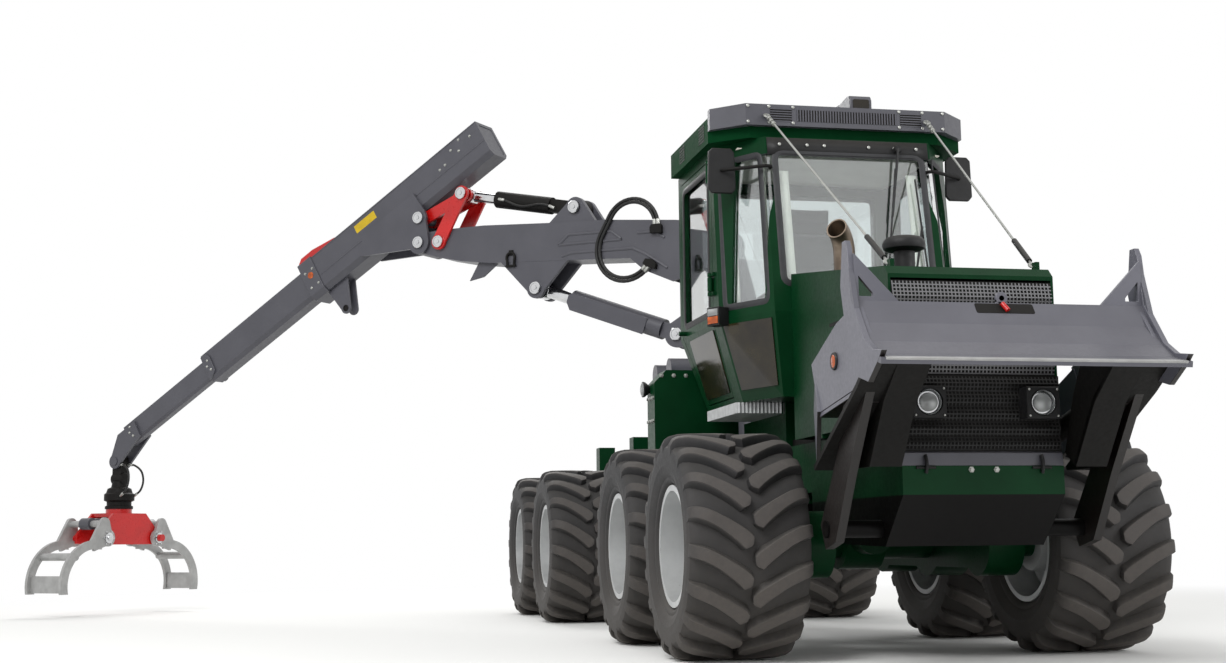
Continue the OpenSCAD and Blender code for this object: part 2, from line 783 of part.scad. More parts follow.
module knuckle_link() {
    color(red) crane() {
        plate_pair(layer_a0, layer_a1) bar2(link_a, link_p, 62, 60);
        pin_w(link_a, link_pin_r, -layer_a1 - 6, layer_a1 + 6);
        for (s = [-1, 1]) pin_w(link_p, link_pin_r, s > 0 ? 84 : -layer_a1 - 6, s > 0 ? layer_a1 + 6 : -84);
    }
}

module knuckle_strut() {
    color(red) crane() difference() {
        plate_pair(51, 78) bar2(jib_pin, link_p, strut_r, strut_r);
        pin_w(jib_pin, link_pin_r + fit, -200, 200);
        pin_w(link_p, link_pin_r + fit, -200, 200);
    }
}

// Box tube along X between x0 and x1, centred on z with chamfered lower edges.
module box_tube(x0, x1, z, h, w, t) {
    c = 0.12 * h;
    translate([x0, 0, z]) rotate([90, 0, 90]) linear_extrude(x1 - x0) difference() {
        polygon([[-w / 2, h / 2], [w / 2, h / 2], [w / 2, -h / 2 + c], [w / 2 - c, -h / 2],
            [-w / 2 + c, -h / 2], [-w / 2, -h / 2 + c]]);
        polygon([[-w / 2 + t, h / 2 - t], [w / 2 - t, h / 2 - t], [w / 2 - t, -h / 2 + c + t / 3],
            [w / 2 - c - t / 3, -h / 2 + t], [-w / 2 + c + t / 3, -h / 2 + t], [-w / 2 + t, -h / 2 + c + t / 3]]);
    }
}

// Wear pads on a tube's four faces near its rear end.
module slide_pads(x0, z, h, w) {
    p = slide_gap - seat_gap;
    for (x = [x0 + 20, x0 + 240]) {
        block([x, -w / 5, z + h / 2 - 1], [x + 100, w / 5, z + h / 2 + p]);
        block([x, -w / 5, z - h / 2 - p], [x + 100, w / 5, z - h / 2 + 1]);
        for (s = [-1, 1]) translate([x, s * w / 2 - (s > 0 ? 1 : p), z - h / 5]) cube([100, p + 1, h / 2.5]);
    }
}

jib_pin_j = [(jib_pin[0] - elbow[0]) * cos(jib_slope) - (jib_pin[1] - elbow[1]) * sin(jib_slope),
    (jib_pin[0] - elbow[0]) * sin(jib_slope) + (jib_pin[1] - elbow[1]) * cos(jib_slope)];

module jib() {
    color(graphite) jib_frame() {
        difference() {
            box_tube(jib_x0, jib_x1, jib_c, jib_h, jib_w, jib_wall);
            pin_w(jib_pin_j, strut_r + 9, -84, 84);
        }
        plate_pair(layer_a0, layer_a1) {
            circle(92);
            translate(jib_pin_j) circle(70);
            polygon([[-80, -46], [92, 0], [520, jib_c - jib_h / 2 + 20], [420, jib_c], [-150, jib_c], [-170, 190]]);
        }
    }
    color(chrome) jib_frame() {
        pin_w([0, 0], pin_r, -layer_a1 - 8, layer_a1 + 8);
        pin_w(jib_pin_j, link_pin_r, -layer_a1 - 8, layer_a1 + 8);
    }
}

module extension_1() {
    color(graphite) jib_frame() {
        box_tube(ext1_x0, ext1_x1, jib_c, ext1_h, ext1_w, ext1_wall);
        slide_pads(ext1_x0, jib_c, ext1_h, ext1_w);
    }
}

module extension_2() {
    color(graphite) jib_frame() difference() {
        union() {
            box_tube(ext2_x0, ext2_x1, jib_c, ext2_h, ext2_w, 14);
            slide_pads(ext2_x0, jib_c, ext2_h, ext2_w);
            plate_pair(ext2_w / 2 - 1, ext2_w / 2 + 20) {
                polygon([[3280, jib_c + 60], [3500, jib_c + 60], [tip[0] + 55, tip[1] + 20], [tip[0] - 40, tip[1] - 50],
                    [3280, jib_c - 80]]);
                translate(tip) circle(62);
            }
            block([3300, -ext2_w / 2, jib_c - 20], [3440, ext2_w / 2, jib_c + 20]);
        }
    }
    color(chrome) jib_frame() pin_w(tip, tip_pin_r, -ext2_w / 2 - 28, ext2_w / 2 + 28);
}

module hanger() {
    color(soot) grapple() difference() {
        union() {
            translate([0, -ext2_w / 2 + 8, tip_z]) rotate([-90, 0, 0]) cylinder(r = 58, h = ext2_w - 16);
            block([-50, -ext2_w / 2 + 8, tip_z - 200], [50, ext2_w / 2 - 8, tip_z]);
            translate([0, 0, 900]) cylinder(r = 120, h = tip_z - 180 - 900);
        }
        translate([0, 0, tip_z]) rotate([90, 0, 0]) cylinder(r = tip_pin_r + fit, h = 300, center = true);
    }
}

// Grapple

module grapple_body() {
    color(red) grapple() {
        translate([0, 0, 860]) cylinder(r = 110, h = 40 - seat_gap);
        block([-135, -190, 830], [135, 190, 862]);
        for (s = [-1, 1]) plate_u(s > 0 ? 110 : -135, s > 0 ? 135 : -110)
            polygon([[-190, 860], [190, 860], [claw_w + 50, claw_z + 30], [claw_w + 50, claw_z - 45], [claw_w - 40, claw_z - 55],
                [-claw_w + 40, claw_z - 55], [-claw_w - 50, claw_z - 45], [-claw_w - 50, claw_z + 30]]);
        for (s = [-1, 1], u = [-220, 109]) translate([u, s * claw_w, claw_z]) rotate([0, 90, 0])
            cylinder(r = claw_pin_r, h = 111);
    }
}

claw_c = [440, 260];

module claw_side() {
    difference() {
        union() {
            intersection() {
                translate(claw_c) difference() { circle(372); circle(300); }
                translate([claw_c[0] - 60, claw_c[1] - 70]) square([500, 500]);
            }
            translate([claw_w, claw_z]) circle(72);
            translate(ear) circle(52);
            polygon([[claw_w - 60, claw_z - 40], [ear[0] - 51, ear[1] + 10], [ear[0] + 45, ear[1] + 26], [claw_w + 190, claw_z - 30], [claw_w + 150, claw_z - 110]]);
        }
        translate([claw_w, claw_z]) circle(claw_pin_r + fit);
    }
}

// Claw with two arms, u0 to u1 from its middle.
module claw(u0, u1) {
    plate_u(u0, u1) claw_side();
    plate_u(-u1, -u0) claw_side();
    translate([-u1, claw_c[0] + 310, 200]) cube([2 * u1, 26, 140]);
    translate([-u1, claw_c[0] + 220, claw_c[1] + 235]) rotate([0, 90, 0]) cylinder(r = 32, h = 2 * u1);
}

module claw_wide() {
    color(silver) grapple() {
        claw(182, 210);
        for (s = [-1, 1]) translate([s > 0 ? 55 + seat_gap : -183, ear[0], ear[1]])
            rotate([0, 90, 0]) cylinder(r = 28, h = 128 - seat_gap);
    }
}

module claw_narrow() {
    color(silver) grapple() mirror([0, 1, 0]) {
        claw(145, 173);
        for (s = [-1, 1]) translate([s > 0 ? 55 + seat_gap : -146, ear[0], ear[1]])
            rotate([0, 90, 0]) cylinder(r = 28, h = 91 - seat_gap);
    }
}

// Grapple cylinder frame: origin on the barrel's eye, +X towards the rod's eye.
module grip_frame() {
    grapple() translate([0, ear[0], ear[1]]) rotate([0, 0, -90]) children();
}

module grapple_barrel() {
    color(soot) grip_frame() difference() {
        union() {
            rotate([90, 0, 0]) cylinder(r = 50, h = 110, center = true);
            rotate([0, 90, 0]) cylinder(r = 48, h = 500);
        }
        translate([80, 0, 0]) rotate([0, 90, 0]) cylinder(r = 26 + fit, h = 500);
    }
}

module grapple_rod() {
    color(chrome) grip_frame() {
        translate([260, 0, 0]) rotate([0, 90, 0]) cylinder(r = 26, h = 2 * ear[0] - 260);
        translate([2 * ear[0], 0, 0]) rotate([90, 0, 0]) cylinder(r = 46, h = 110, center = true);
    }
}

front_frame();
front_bogies();
engine();
hood();
grilles();
lamps();
exhaust();
air_intake();
cab_frame();
cab_roof();
roof_visor();
cab_glass();
cab_interior();
mirrors();
steps();
side_boxes();
limb_wires();
door();
door_glass();
blade();
blade_barrels();
blade_rods();
rear_frame();
rear_bogies();
bolsters();
slew_base();
column();
boom();
boom_hoses();
lift_barrel();
lift_rod();
jib_barrel();
jib_rod();
knuckle_link();
knuckle_strut();
jib();
extension_1();
extension_2();
hanger();
grapple_body();
claw_wide();
claw_narrow();
grapple_barrel();
grapple_rod();
tyre_1r();
tyre_1l();
tyre_2r();
tyre_2l();
tyre_3r();
tyre_3l();
tyre_4r();
tyre_4l();
rim_1r();
rim_1l();
rim_2r();
rim_2l();
rim_3r();
rim_3l();
rim_4r();
rim_4l();
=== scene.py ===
"""Dressed model of an eight-wheel forestry forwarder with a folding timber crane and a raised front blade."""

import logging
import math
from dataclasses import dataclass
from enum import Enum
from typing import Any, Sequence

import bmesh
import bpy
import numpy as np
from mathutils import Matrix, Vector

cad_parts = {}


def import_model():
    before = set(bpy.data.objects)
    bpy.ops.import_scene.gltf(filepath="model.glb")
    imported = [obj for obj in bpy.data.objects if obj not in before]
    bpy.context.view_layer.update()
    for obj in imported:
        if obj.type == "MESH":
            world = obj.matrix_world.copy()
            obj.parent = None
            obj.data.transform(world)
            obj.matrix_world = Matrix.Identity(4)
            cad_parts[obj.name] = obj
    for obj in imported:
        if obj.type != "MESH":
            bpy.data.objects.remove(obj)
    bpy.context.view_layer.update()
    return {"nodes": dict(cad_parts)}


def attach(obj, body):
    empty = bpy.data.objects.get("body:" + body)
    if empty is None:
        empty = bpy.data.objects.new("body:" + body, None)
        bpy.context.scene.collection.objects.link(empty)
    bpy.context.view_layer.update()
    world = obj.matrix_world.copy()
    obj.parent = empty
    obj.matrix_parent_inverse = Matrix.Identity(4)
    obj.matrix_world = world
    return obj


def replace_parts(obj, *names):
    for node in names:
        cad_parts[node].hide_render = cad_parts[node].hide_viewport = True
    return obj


LOG = logging.getLogger("forwarder")
Array = np.ndarray
Point = Sequence[float]

# Directions of the machine: to its left, to its front and up.
LEFTWARD = (1, 0, 0)
AHEAD = (0, -1, 0)
UP = (0, 0, 1)

# Colours of settled dust and dried mud, and the size of the specks that break them up.
DUST = "#9b958a"
MUD = "#6f665b"
SPECK_MM = 22.0


# Finishes


def linear(code: str) -> tuple[float, float, float, float]:
    """Turn a colour written as sRGB hex into linear light.

    Args:
        code: Colour as #rrggbb.
    Returns:
        Red, green, blue and alpha for a shader socket.
    """
    parts = [int(code[i:i + 2], 16) / 255 for i in (1, 3, 5)]
    light = [v / 12.92 if v <= 0.04045 else ((v + 0.055) / 1.055) ** 2.4 for v in parts]
    return (light[0], light[1], light[2], 1.0)


def per_mm(size: float) -> float:
    """Give the texture scale at which one feature of a pattern is size millimetres across."""
    return 1000.0 / size


def add(tree: bpy.types.NodeTree, kind: str, settings: dict[Any, Any] | None = None,
        links: dict[Any, Any] | None = None) -> bpy.types.Node:
    """Add one shader node with its settings and its incoming links.

    Args:
        tree: Node tree of a material or of the world.
        kind: Node type without its ShaderNode prefix.
        settings: Node properties, socket values by name or place, or the stops of a colour ramp.
        links: Source sockets by the name or place of the socket they feed.
    Returns:
        The new node.
    """
    node = tree.nodes.new("ShaderNode" + kind)
    for key, value in (settings or {}).items():
        if key == "stops":
            ramp = node.color_ramp
            while len(ramp.elements) < len(value):
                ramp.elements.new(0.5)
            for stop, (place, grey) in zip(ramp.elements, value):
                stop.position, stop.color = place, (grey, grey, grey, 1.0)
        elif isinstance(key, int) or key in node.inputs:
            node.inputs[key].default_value = value
        else:
            setattr(node, key, value)
    for key, source in (links or {}).items():
        tree.links.new(source, node.inputs[key])
    return node


def maths(tree: bpy.types.NodeTree, operation: str, *values: Any,
          clamp: bool = False) -> bpy.types.NodeSocket:
    """Work out one sum in a node tree.

    Args:
        tree: Node tree of a material or of the world.
        operation: Name of the sum.
        values: Sockets and numbers that go into it, in order.
        clamp: Whether the result is kept between 0 and 1.
    Returns:
        Socket of the result.
    """
    node = add(tree, "Math", {"operation": operation, "use_clamp": clamp})
    for socket, value in zip(node.inputs, values):
        if isinstance(value, float):
            socket.default_value = value
        else:
            tree.links.new(value, socket)
    return node.outputs[0]


def mixed(tree: bpy.types.NodeTree, first: Any, second: str,
          share: bpy.types.NodeSocket) -> bpy.types.NodeSocket:
    """Mix two colours.

    Args:
        tree: Node tree of a material.
        first: Colour where the share is 0, as sRGB hex or as a socket.
        second: Colour where the share is 1, as sRGB hex.
        share: Socket of the share.
    Returns:
        Socket of the mixed colour.
    """
    node = add(tree, "Mix", {"data_type": "RGBA", 7: linear(second)}, {0: share})
    if isinstance(first, str):
        node.inputs[6].default_value = linear(first)
    else:
        tree.links.new(first, node.inputs[6])
    return node.outputs[2]


def seen_rays(tree: bpy.types.NodeTree) -> bpy.types.NodeSocket:
    """Tell rays that look at something from rays that carry light.

    Args:
        tree: Node tree of a material or of the world.
    Returns:
        Socket that is 1 for camera, glossy and transmission rays and 0 for others.
    """
    path = add(tree, "LightPath")
    direct = maths(tree, "MAXIMUM", path.outputs["Is Camera Ray"], path.outputs["Is Glossy Ray"])
    return maths(tree, "MAXIMUM", direct, path.outputs["Is Transmission Ray"])


def new_material(name: str) -> tuple[bpy.types.Material, bpy.types.NodeTree]:
    """Start a material with an empty node tree.

    Args:
        name: Name of the real material.
    Returns:
        The material and its tree.
    """
    material = bpy.data.materials.new(name)
    material.use_nodes = True
    material.node_tree.nodes.clear()
    return material, material.node_tree


@dataclass(frozen=True)
class Coating:
    """Opaque surface with cloudy colour, painted shade on faces turned down and low down, settled dust,
    splashed mud, bare chips and a fine grain.

    Attributes:
        name: Name of the real material.
        base: Main colour.
        cloud: Second colour of the soft clouds.
        rough: Middle roughness.
        metal: Metallic share.
        cloud_mm: Size of the clouds.
        grain_mm: Size of the grain.
        grain_depth_mm: Height of the grain.
        dust: Most dust that lies on faces turned up.
        mud: Most mud near the ground.
        chips: Share of bare chips.
        bare: Colour of a bare chip.
        coat: Weight of a clear coat.
        worn: Strength of the worn-edge attribute, where the piece has one.
        shine: Strength of the dielectric reflection.
        under: Colour of painted shade on faces turned down, none if empty.
        shade_line: Height in metres below which that painted shade covers everything.
    """

    name: str
    base: str
    cloud: str
    rough: float
    metal: float = 0.0
    cloud_mm: float = 320.0
    grain_mm: float = 2.4
    grain_depth_mm: float = 0.05
    dust: float = 0.12
    mud: float = 0.0
    chips: float = 0.0
    bare: str = "#8d8f8e"
    coat: float = 0.0
    worn: float = 0.0
    shine: float = 0.5
    under: str = ""
    shade_line: float = 0.0

    def make(self) -> bpy.types.Material:
        """Build the material: clouds, painted shade on faces turned down and below the shade line, chips,
        dust on upward faces, mud low down, grain as bump.
        """
        material, tree = new_material(self.name)
        where = add(tree, "TexCoord")
        place = where.outputs["Object"]
        facing = add(tree, "SeparateXYZ", None, {0: where.outputs["Normal"]}).outputs["Z"]
        height = add(tree, "SeparateXYZ", None, {0: place}).outputs["Z"]
        cloud = add(tree, "TexNoise", {"Scale": per_mm(self.cloud_mm), "Detail": 5.0, "Roughness": 0.6},
                    {"Vector": place})
        noise = add(tree, "TexNoise", {"Scale": per_mm(SPECK_MM), "Detail": 6.0, "Roughness": 0.7},
                    {"Vector": place})
        speck = noise.outputs["Fac"]
        grain = add(tree, "TexNoise", {"Scale": per_mm(self.grain_mm), "Detail": 2.0}, {"Vector": place})
        soft = add(tree, "ValToRGB", {"stops": [(0.36, 0.0), (0.68, 1.0)]}, {"Fac": cloud.outputs["Fac"]})
        tint = mixed(tree, self.base, self.cloud, soft.outputs["Color"])
        if self.under:
            # Painted shade on faces turned down and below the shade line.
            down = add(tree, "MapRange", {"From Min": -0.22, "From Max": -0.3}, {"Value": facing})
            low = maths(tree, "LESS_THAN", height, self.shade_line)
            tint = mixed(tree, tint, self.under, maths(tree, "MAXIMUM", down.outputs[0], low))
        if self.chips > 0.0:
            # Small bare spots where stones and timber have knocked the paint off.
            edge = 0.71 - 0.06 * self.chips
            spots = add(tree, "ValToRGB", {"stops": [(edge, 0.0), (edge + 0.02, 1.0)]}, {"Fac": speck})
            tint = mixed(tree, tint, self.bare, spots.outputs["Color"])
        if self.worn > 0.0:
            worn = add(tree, "Attribute", {"attribute_name": "worn"})
            rub = maths(tree, "MULTIPLY", worn.outputs["Fac"], self.worn)
            rub = maths(tree, "MULTIPLY_ADD", speck, 0.5, rub, clamp=True)
            bared = add(tree, "MapRange", {"From Min": 0.3, "From Max": 1.25}, {"Value": rub})
            tint = mixed(tree, tint, self.bare, bared.outputs[0])
        if self.dust > 0.0:
            lie = add(tree, "MapRange", {"From Min": 0.25, "From Max": 1.0, "To Max": self.dust},
                      {"Value": facing})
            tint = mixed(tree, tint, DUST, maths(tree, "MULTIPLY", lie.outputs[0], speck, clamp=True))
        if self.mud > 0.0:
            splash = add(tree, "MapRange", {"From Min": 0.9, "From Max": 0.05, "To Max": 1.6 * self.mud},
                         {"Value": height})
            tint = mixed(tree, tint, MUD, maths(tree, "MULTIPLY", splash.outputs[0], speck, clamp=True))
        gloss = add(tree, "MapRange", {"From Min": 0.3, "From Max": 0.7,
                                       "To Min": max(self.rough - 0.08, 0.03),
                                       "To Max": min(self.rough + 0.1, 1.0)}, {"Value": speck})
        bump = add(tree, "Bump", {"Strength": 0.6, "Distance": self.grain_depth_mm / 1000.0},
                   {"Height": grain.outputs["Fac"]})
        look = {"Metallic": self.metal, "Coat Weight": self.coat, "Coat Roughness": 0.12,
                "Specular IOR Level": self.shine}
        shader = add(tree, "BsdfPrincipled", look, {"Base Color": tint, "Roughness": gloss.outputs[0],
                                                    "Normal": bump.outputs[0]})
        add(tree, "OutputMaterial", None, {"Surface": shader.outputs[0]})
        return material


@dataclass(frozen=True)
class Pane:
    """Window glass that lets light through, darker where it is tinted below a height.

    Attributes:
        name: Name of the real material.
        clear: Colour of the upper panes.
        tinted: Colour of the lower panes.
        waist: Height in metres where the tint begins.
    """

    name: str
    clear: str
    tinted: str
    waist: float

    def make(self) -> bpy.types.Material:
        """Build the glass: clear with a faint streak in its gloss, and light let through in shadow rays."""
        material, tree = new_material(self.name)
        place = add(tree, "TexCoord").outputs["Object"]
        height = add(tree, "SeparateXYZ", None, {0: place}).outputs["Z"]
        tint = mixed(tree, self.tinted, self.clear, maths(tree, "GREATER_THAN", height, self.waist))
        smear = add(tree, "TexNoise", {"Scale": per_mm(180.0), "Detail": 3.0}, {"Vector": place})
        gloss = add(tree, "MapRange", {"To Min": 0.0, "To Max": 0.05}, {"Value": smear.outputs["Fac"]})
        look = {"Transmission Weight": 1.0, "IOR": 1.45, "Coat Weight": 1.0, "Coat IOR": 2.1,
                "Coat Roughness": 0.02}
        shader = add(tree, "BsdfPrincipled", look, {"Base Color": tint, "Roughness": gloss.outputs[0]})
        open_ray = add(tree, "BsdfTransparent", None, {"Color": tint})
        shadow = add(tree, "LightPath").outputs["Is Shadow Ray"]
        both = add(tree, "MixShader", None, {0: shadow, 1: shader.outputs[0], 2: open_ray.outputs[0]})
        add(tree, "OutputMaterial", None, {"Surface": both.outputs[0]})
        return material


@dataclass(frozen=True)
class Weave:
    """Woven seat cloth.

    Attributes:
        name: Name of the real material.
        warp: Colour of the warp.
        weft: Colour of the weft.
        thread_mm: Width of one thread.
    """

    name: str
    warp: str
    weft: str
    thread_mm: float

    def make(self) -> bpy.types.Material:
        """Build the cloth: two crossed bands of threads, a soft sheen and a little height."""
        material, tree = new_material(self.name)
        place = add(tree, "TexCoord").outputs["Object"]
        scale = per_mm(self.thread_mm) / 20.0
        along = add(tree, "TexWave", {"bands_direction": "X", "Scale": scale, "Distortion": 0.6},
                    {"Vector": place})
        across = add(tree, "TexWave", {"bands_direction": "DIAGONAL", "Scale": scale, "Distortion": 0.6},
                     {"Vector": place})
        height = maths(tree, "MULTIPLY", along.outputs["Fac"], across.outputs["Fac"])
        tint = mixed(tree, self.warp, self.weft, height)
        bump = add(tree, "Bump", {"Strength": 0.5, "Distance": 0.0006}, {"Height": height})
        shader = add(tree, "BsdfPrincipled", {"Roughness": 0.9, "Sheen Weight": 0.4,
                                              "Sheen Roughness": 0.5},
                     {"Base Color": tint, "Normal": bump.outputs[0]})
        add(tree, "OutputMaterial", None, {"Surface": shader.outputs[0]})
        return material


@dataclass(frozen=True)
class Lens:
    """Moulded lamp lens or reflector with fine ribs.

    Attributes:
        name: Name of the real material.
        body: Colour of the plastic.
        rib_mm: Pitch of the moulded ribs.
        clear: Transmission share.
    """

    name: str
    body: str
    rib_mm: float
    clear: float

    def make(self) -> bpy.types.Material:
        """Build the lens: ribs as bump and a faint change of colour under a hard gloss."""
        material, tree = new_material(self.name)
        place = add(tree, "TexCoord").outputs["Object"]
        rib = add(tree, "TexWave", {"bands_direction": "X", "Scale": per_mm(self.rib_mm) / 20.0},
                  {"Vector": place})
        cell = add(tree, "TexWave", {"bands_direction": "Z", "Scale": per_mm(self.rib_mm) / 20.0},
                   {"Vector": place})
        both = maths(tree, "MULTIPLY", rib.outputs["Fac"], cell.outputs["Fac"])
        dark = tuple(0.55 * v for v in linear(self.body)[:3]) + (1.0,)
        tint = add(tree, "Mix", {"data_type": "RGBA", 6: dark, 7: linear(self.body)}, {0: both})
        bump = add(tree, "Bump", {"Strength": 0.5, "Distance": 0.001}, {"Height": both})
        shader = add(tree, "BsdfPrincipled", {"Roughness": 0.08, "Transmission Weight": self.clear,
                                              "IOR": 1.49},
                     {"Base Color": tint.outputs[2], "Normal": bump.outputs[0]})
        add(tree, "OutputMaterial", None, {"Surface": shader.outputs[0]})
        return material


class Finish(Enum):
    """Finishes of the machine, each one a real material; some also carry painted shade."""

    # Deep forest green, evenly satin, with a soft orange peel.
    GREEN = Coating("green_gloss_paint", "#042c15", "#07351b", 0.34, grain_mm=6.0, grain_depth_mm=0.01,
                    shine=0.09, dust=0.03)
    # The same green laid on dull, for the roof that is seen at a flat angle.
    ROOF = Coating("green_satin_paint", "#042c15", "#07351b", 0.6, grain_mm=6.0, grain_depth_mm=0.01,
                   shine=0.02, dust=0.02)
    # The same green on the frame, with near-black painted shade below the shade line and on faces turned
    # down.
    FRAME = Coating("frame_paint_with_painted_shade", "#042c15", "#07351b", 0.38, grain_mm=6.0, grain_depth_mm=0.01,
                    shine=0.12, dust=0.03, under="#060505", shade_line=0.765)
    # Violet-grey satin with a fine powder-coat grain.
    GRAPHITE = Coating("graphite_satin_paint", "#45454c", "#4c4c53", 0.4, grain_mm=1.6, grain_depth_mm=0.05,
                       dust=0.1, chips=0.12)
    # The same satin on the blade, with brown-black painted shade on faces turned down.
    BOARD = Coating("blade_satin_paint", "#585861", "#606069", 0.38, grain_mm=1.6, grain_depth_mm=0.05,
                    dust=0.1, chips=0.25, under="#120d0b")
    # The same satin on the blade's arms, with brown-black painted shade low down and on faces turned down.
    ARM = Coating("blade_arm_paint", "#515159", "#595961", 0.4, grain_mm=1.6, grain_depth_mm=0.05, dust=0.1,
                  under="#120d0b", shade_line=1.215)
    # Matt black-brown underseal, a little dusty; also used as black painted shade for the vents, the board's
    # slot, the arm boxes and the blade's barrels.
    SOOT_AND_SHADE = Coating("black_underseal_and_painted_shade", "#0a0908", "#100e0c", 0.6, grain_mm=3.5, grain_depth_mm=0.2,
                   shine=0.2, dust=0.04)
    # Signal red with a clear coat, rubbed at its edges.
    RED = Coating("red_gloss_paint", "#c41210", "#ad0e0c", 0.3, grain_mm=3.0, grain_depth_mm=0.03, coat=0.2,
                  dust=0.05, chips=0.2)
    # Bare, shot-blasted high-tensile steel, pale and even.
    CLAW = Coating("blasted_claw_steel", "#9a9a99", "#adadac", 0.45, metal=0.35, cloud_mm=90.0,
                   grain_mm=1.2, grain_depth_mm=0.08, dust=0.05)
    # Silver-grey wheel paint with dust in the dish.
    RIM = Coating("silver_wheel_paint", "#b2b4b5", "#c0c2c2", 0.36, metal=0.25, cloud_mm=160.0, dust=0.15,
                  mud=0.15, chips=0.2, bare="#6d665d")
    # Dusty grey-black rubber, brown-grey and scuffed where it meets the ground.
    TYRE = Coating("tyre_rubber", "#2a2a2b", "#333233", 0.7, cloud_mm=140.0, grain_mm=1.8,
                   grain_depth_mm=0.18, shine=0.35, dust=0.16, mud=0.22, bare="#5a5552", worn=0.6)
    # Smooth black hydraulic hose rubber with a dull bloom.
    HOSE = Coating("hose_rubber", "#141414", "#1b1b1b", 0.5, shine=0.35, cloud_mm=60.0, grain_mm=1.0,
                   grain_depth_mm=0.1, dust=0.2)
    # Grained black moulded plastic.
    PLASTIC = Coating("grained_black_plastic", "#151516", "#1c1c1d", 0.5, shine=0.3, cloud_mm=120.0,
                      grain_mm=0.9, grain_depth_mm=0.12, dust=0.15)
    # Satin grey steel mesh.
    MESH = Coating("grey_steel_mesh", "#6a6a6c", "#747476", 0.45, metal=0.3, cloud_mm=60.0, grain_mm=1.0,
                   grain_depth_mm=0.04, dust=0.08)
    # Dark grey rubber of the window seals.
    SEAL = Coating("grey_window_rubber", "#1e1f22", "#27282b", 0.6, cloud_mm=80.0, grain_mm=1.0,
                   grain_depth_mm=0.06, dust=0.1)
    # Hard chrome with the faintest grinding marks.
    CHROME = Coating("hard_chrome", "#d2d3d4", "#c4c5c7", 0.14, metal=1.0, cloud_mm=60.0, grain_mm=0.8,
                     grain_depth_mm=0.01, dust=0.03)
    # Zinc-plated steel of bolts, fittings and wires.
    ZINC = Coating("zinc_plated_steel", "#b4b5b1", "#9fa09b", 0.36, metal=0.85, cloud_mm=18.0, grain_mm=1.0,
                   grain_depth_mm=0.05, dust=0.06)
    # Serrated aluminium tread plate.
    ALUMINIUM = Coating("tread_plate_aluminium", "#b9bbbb", "#a6a8a8", 0.4, metal=0.9, cloud_mm=40.0,
                        grain_mm=1.4, grain_depth_mm=0.06, dust=0.2)
    # Heat-browned exhaust steel.
    EXHAUST = Coating("heat_browned_steel", "#5f5348", "#7d7062", 0.4, metal=0.8, cloud_mm=55.0,
                      grain_mm=1.5, grain_depth_mm=0.06, dust=0.05)
    # Oily cast iron.
    IRON = Coating("oily_cast_iron", "#2a2a29", "#35332f", 0.5, metal=0.4, cloud_mm=70.0, grain_mm=2.0,
                   grain_depth_mm=0.25, dust=0.15)
    # Pale moulded lining of the cab.
    LINING = Coating("pale_cab_lining", "#e6e2d6", "#dad6ca", 0.7, cloud_mm=200.0, grain_mm=1.1,
                     grain_depth_mm=0.12, dust=0.08)
    # Blank yellow marking tape.
    YELLOW = Coating("yellow_marking_tape", "#c9a90e", "#b89a10", 0.45, cloud_mm=70.0, dust=0.12)
    # Window glass, smoke-tinted below the waist.
    GLASS = Pane("cab_window_glass", "#e6eded", "#6e6449", 1.76)
    # Brown smoked polycarbonate of the lower panes, glossy with soft olive clouds.
    SMOKE = Coating("smoked_polycarbonate", "#15100a", "#2f2918", 0.14, cloud_mm=240.0, grain_mm=30.0,
                    grain_depth_mm=0.02, shine=0.4, dust=0.0)
    # Charcoal seat cloth.
    CLOTH = Weave("charcoal_seat_cloth", "#26282b", "#3a3d41", 3.0)
    # Clear ribbed headlamp lens.
    CLEAR = Lens("clear_lamp_lens", "#e9ecec", 9.0, 0.55)
    # Amber moulded plastic of lamps and reflectors.
    AMBER = Lens("amber_reflector", "#d9600a", 6.0, 0.15)


_made: dict[Finish, bpy.types.Material] = {}


def material_of(finish: Finish) -> bpy.types.Material:
    """Give a finish's material, made once."""
    if finish not in _made:
        _made[finish] = finish.value.make()
    return _made[finish]


# Surfaces


def quads(nu: int, nv: int, wrap_u: bool = False, wrap_v: bool = False) -> Array:
    """Number the faces of a grid of nu by nv points, closed on itself where asked.

    Args:
        nu: Points along the first direction.
        nv: Points along the second direction.
        wrap_u: Whether the last row meets the first.
        wrap_v: Whether the last column meets the first.
    Returns:
        Corner numbers, four to a face.
    """
    i, j = np.meshgrid(np.arange(nu if wrap_u else nu - 1), np.arange(nv if wrap_v else nv - 1),
                       indexing="ij")
    a, b = (i + 1) % nu, (j + 1) % nv
    return np.stack([i * nv + j, a * nv + j, a * nv + b, i * nv + b], axis=-1).reshape(-1, 4)


def shell_faces(n: int, m: int) -> list[Array]:
    """Number the faces of two grids of n by m points, one over the other, and of the wall round their rims.

    Args:
        n: Points along the first direction.
        m: Points along the second direction.
    Returns:
        Faces of the first grid, of the second, whose points follow, and of the wall.
    """
    k = np.arange(n * m).reshape(n, m)
    rim = np.concatenate([k[0, :-1], k[:-1, -1], k[-1, :0:-1], k[:0:-1, 0]])
    wall = np.stack([rim, np.roll(rim, -1), np.roll(rim, -1) + n * m, rim + n * m], -1)
    return [quads(n, m), quads(n, m) + n * m, wall]


def frames(axes: Array) -> Array:
    """Set up two crosswise unit vectors and the axis itself for each of several axes.

    Args:
        axes: Directions, one to a row.
    Returns:
        For each row a 3 by 3 array whose rows are the two cross vectors and the axis.
    """
    n = axes / np.linalg.norm(axes, axis=-1, keepdims=True)
    helper = np.where(np.abs(n[:, 2:3]) > 0.9, np.array([[1.0, 0.0, 0.0]]), np.array([[0.0, 0.0, 1.0]]))
    u = np.cross(helper, n)
    u /= np.linalg.norm(u, axis=-1, keepdims=True)
    return np.stack([u, np.cross(n, u), n], axis=1)


Shape = tuple[Array, list[Array]]


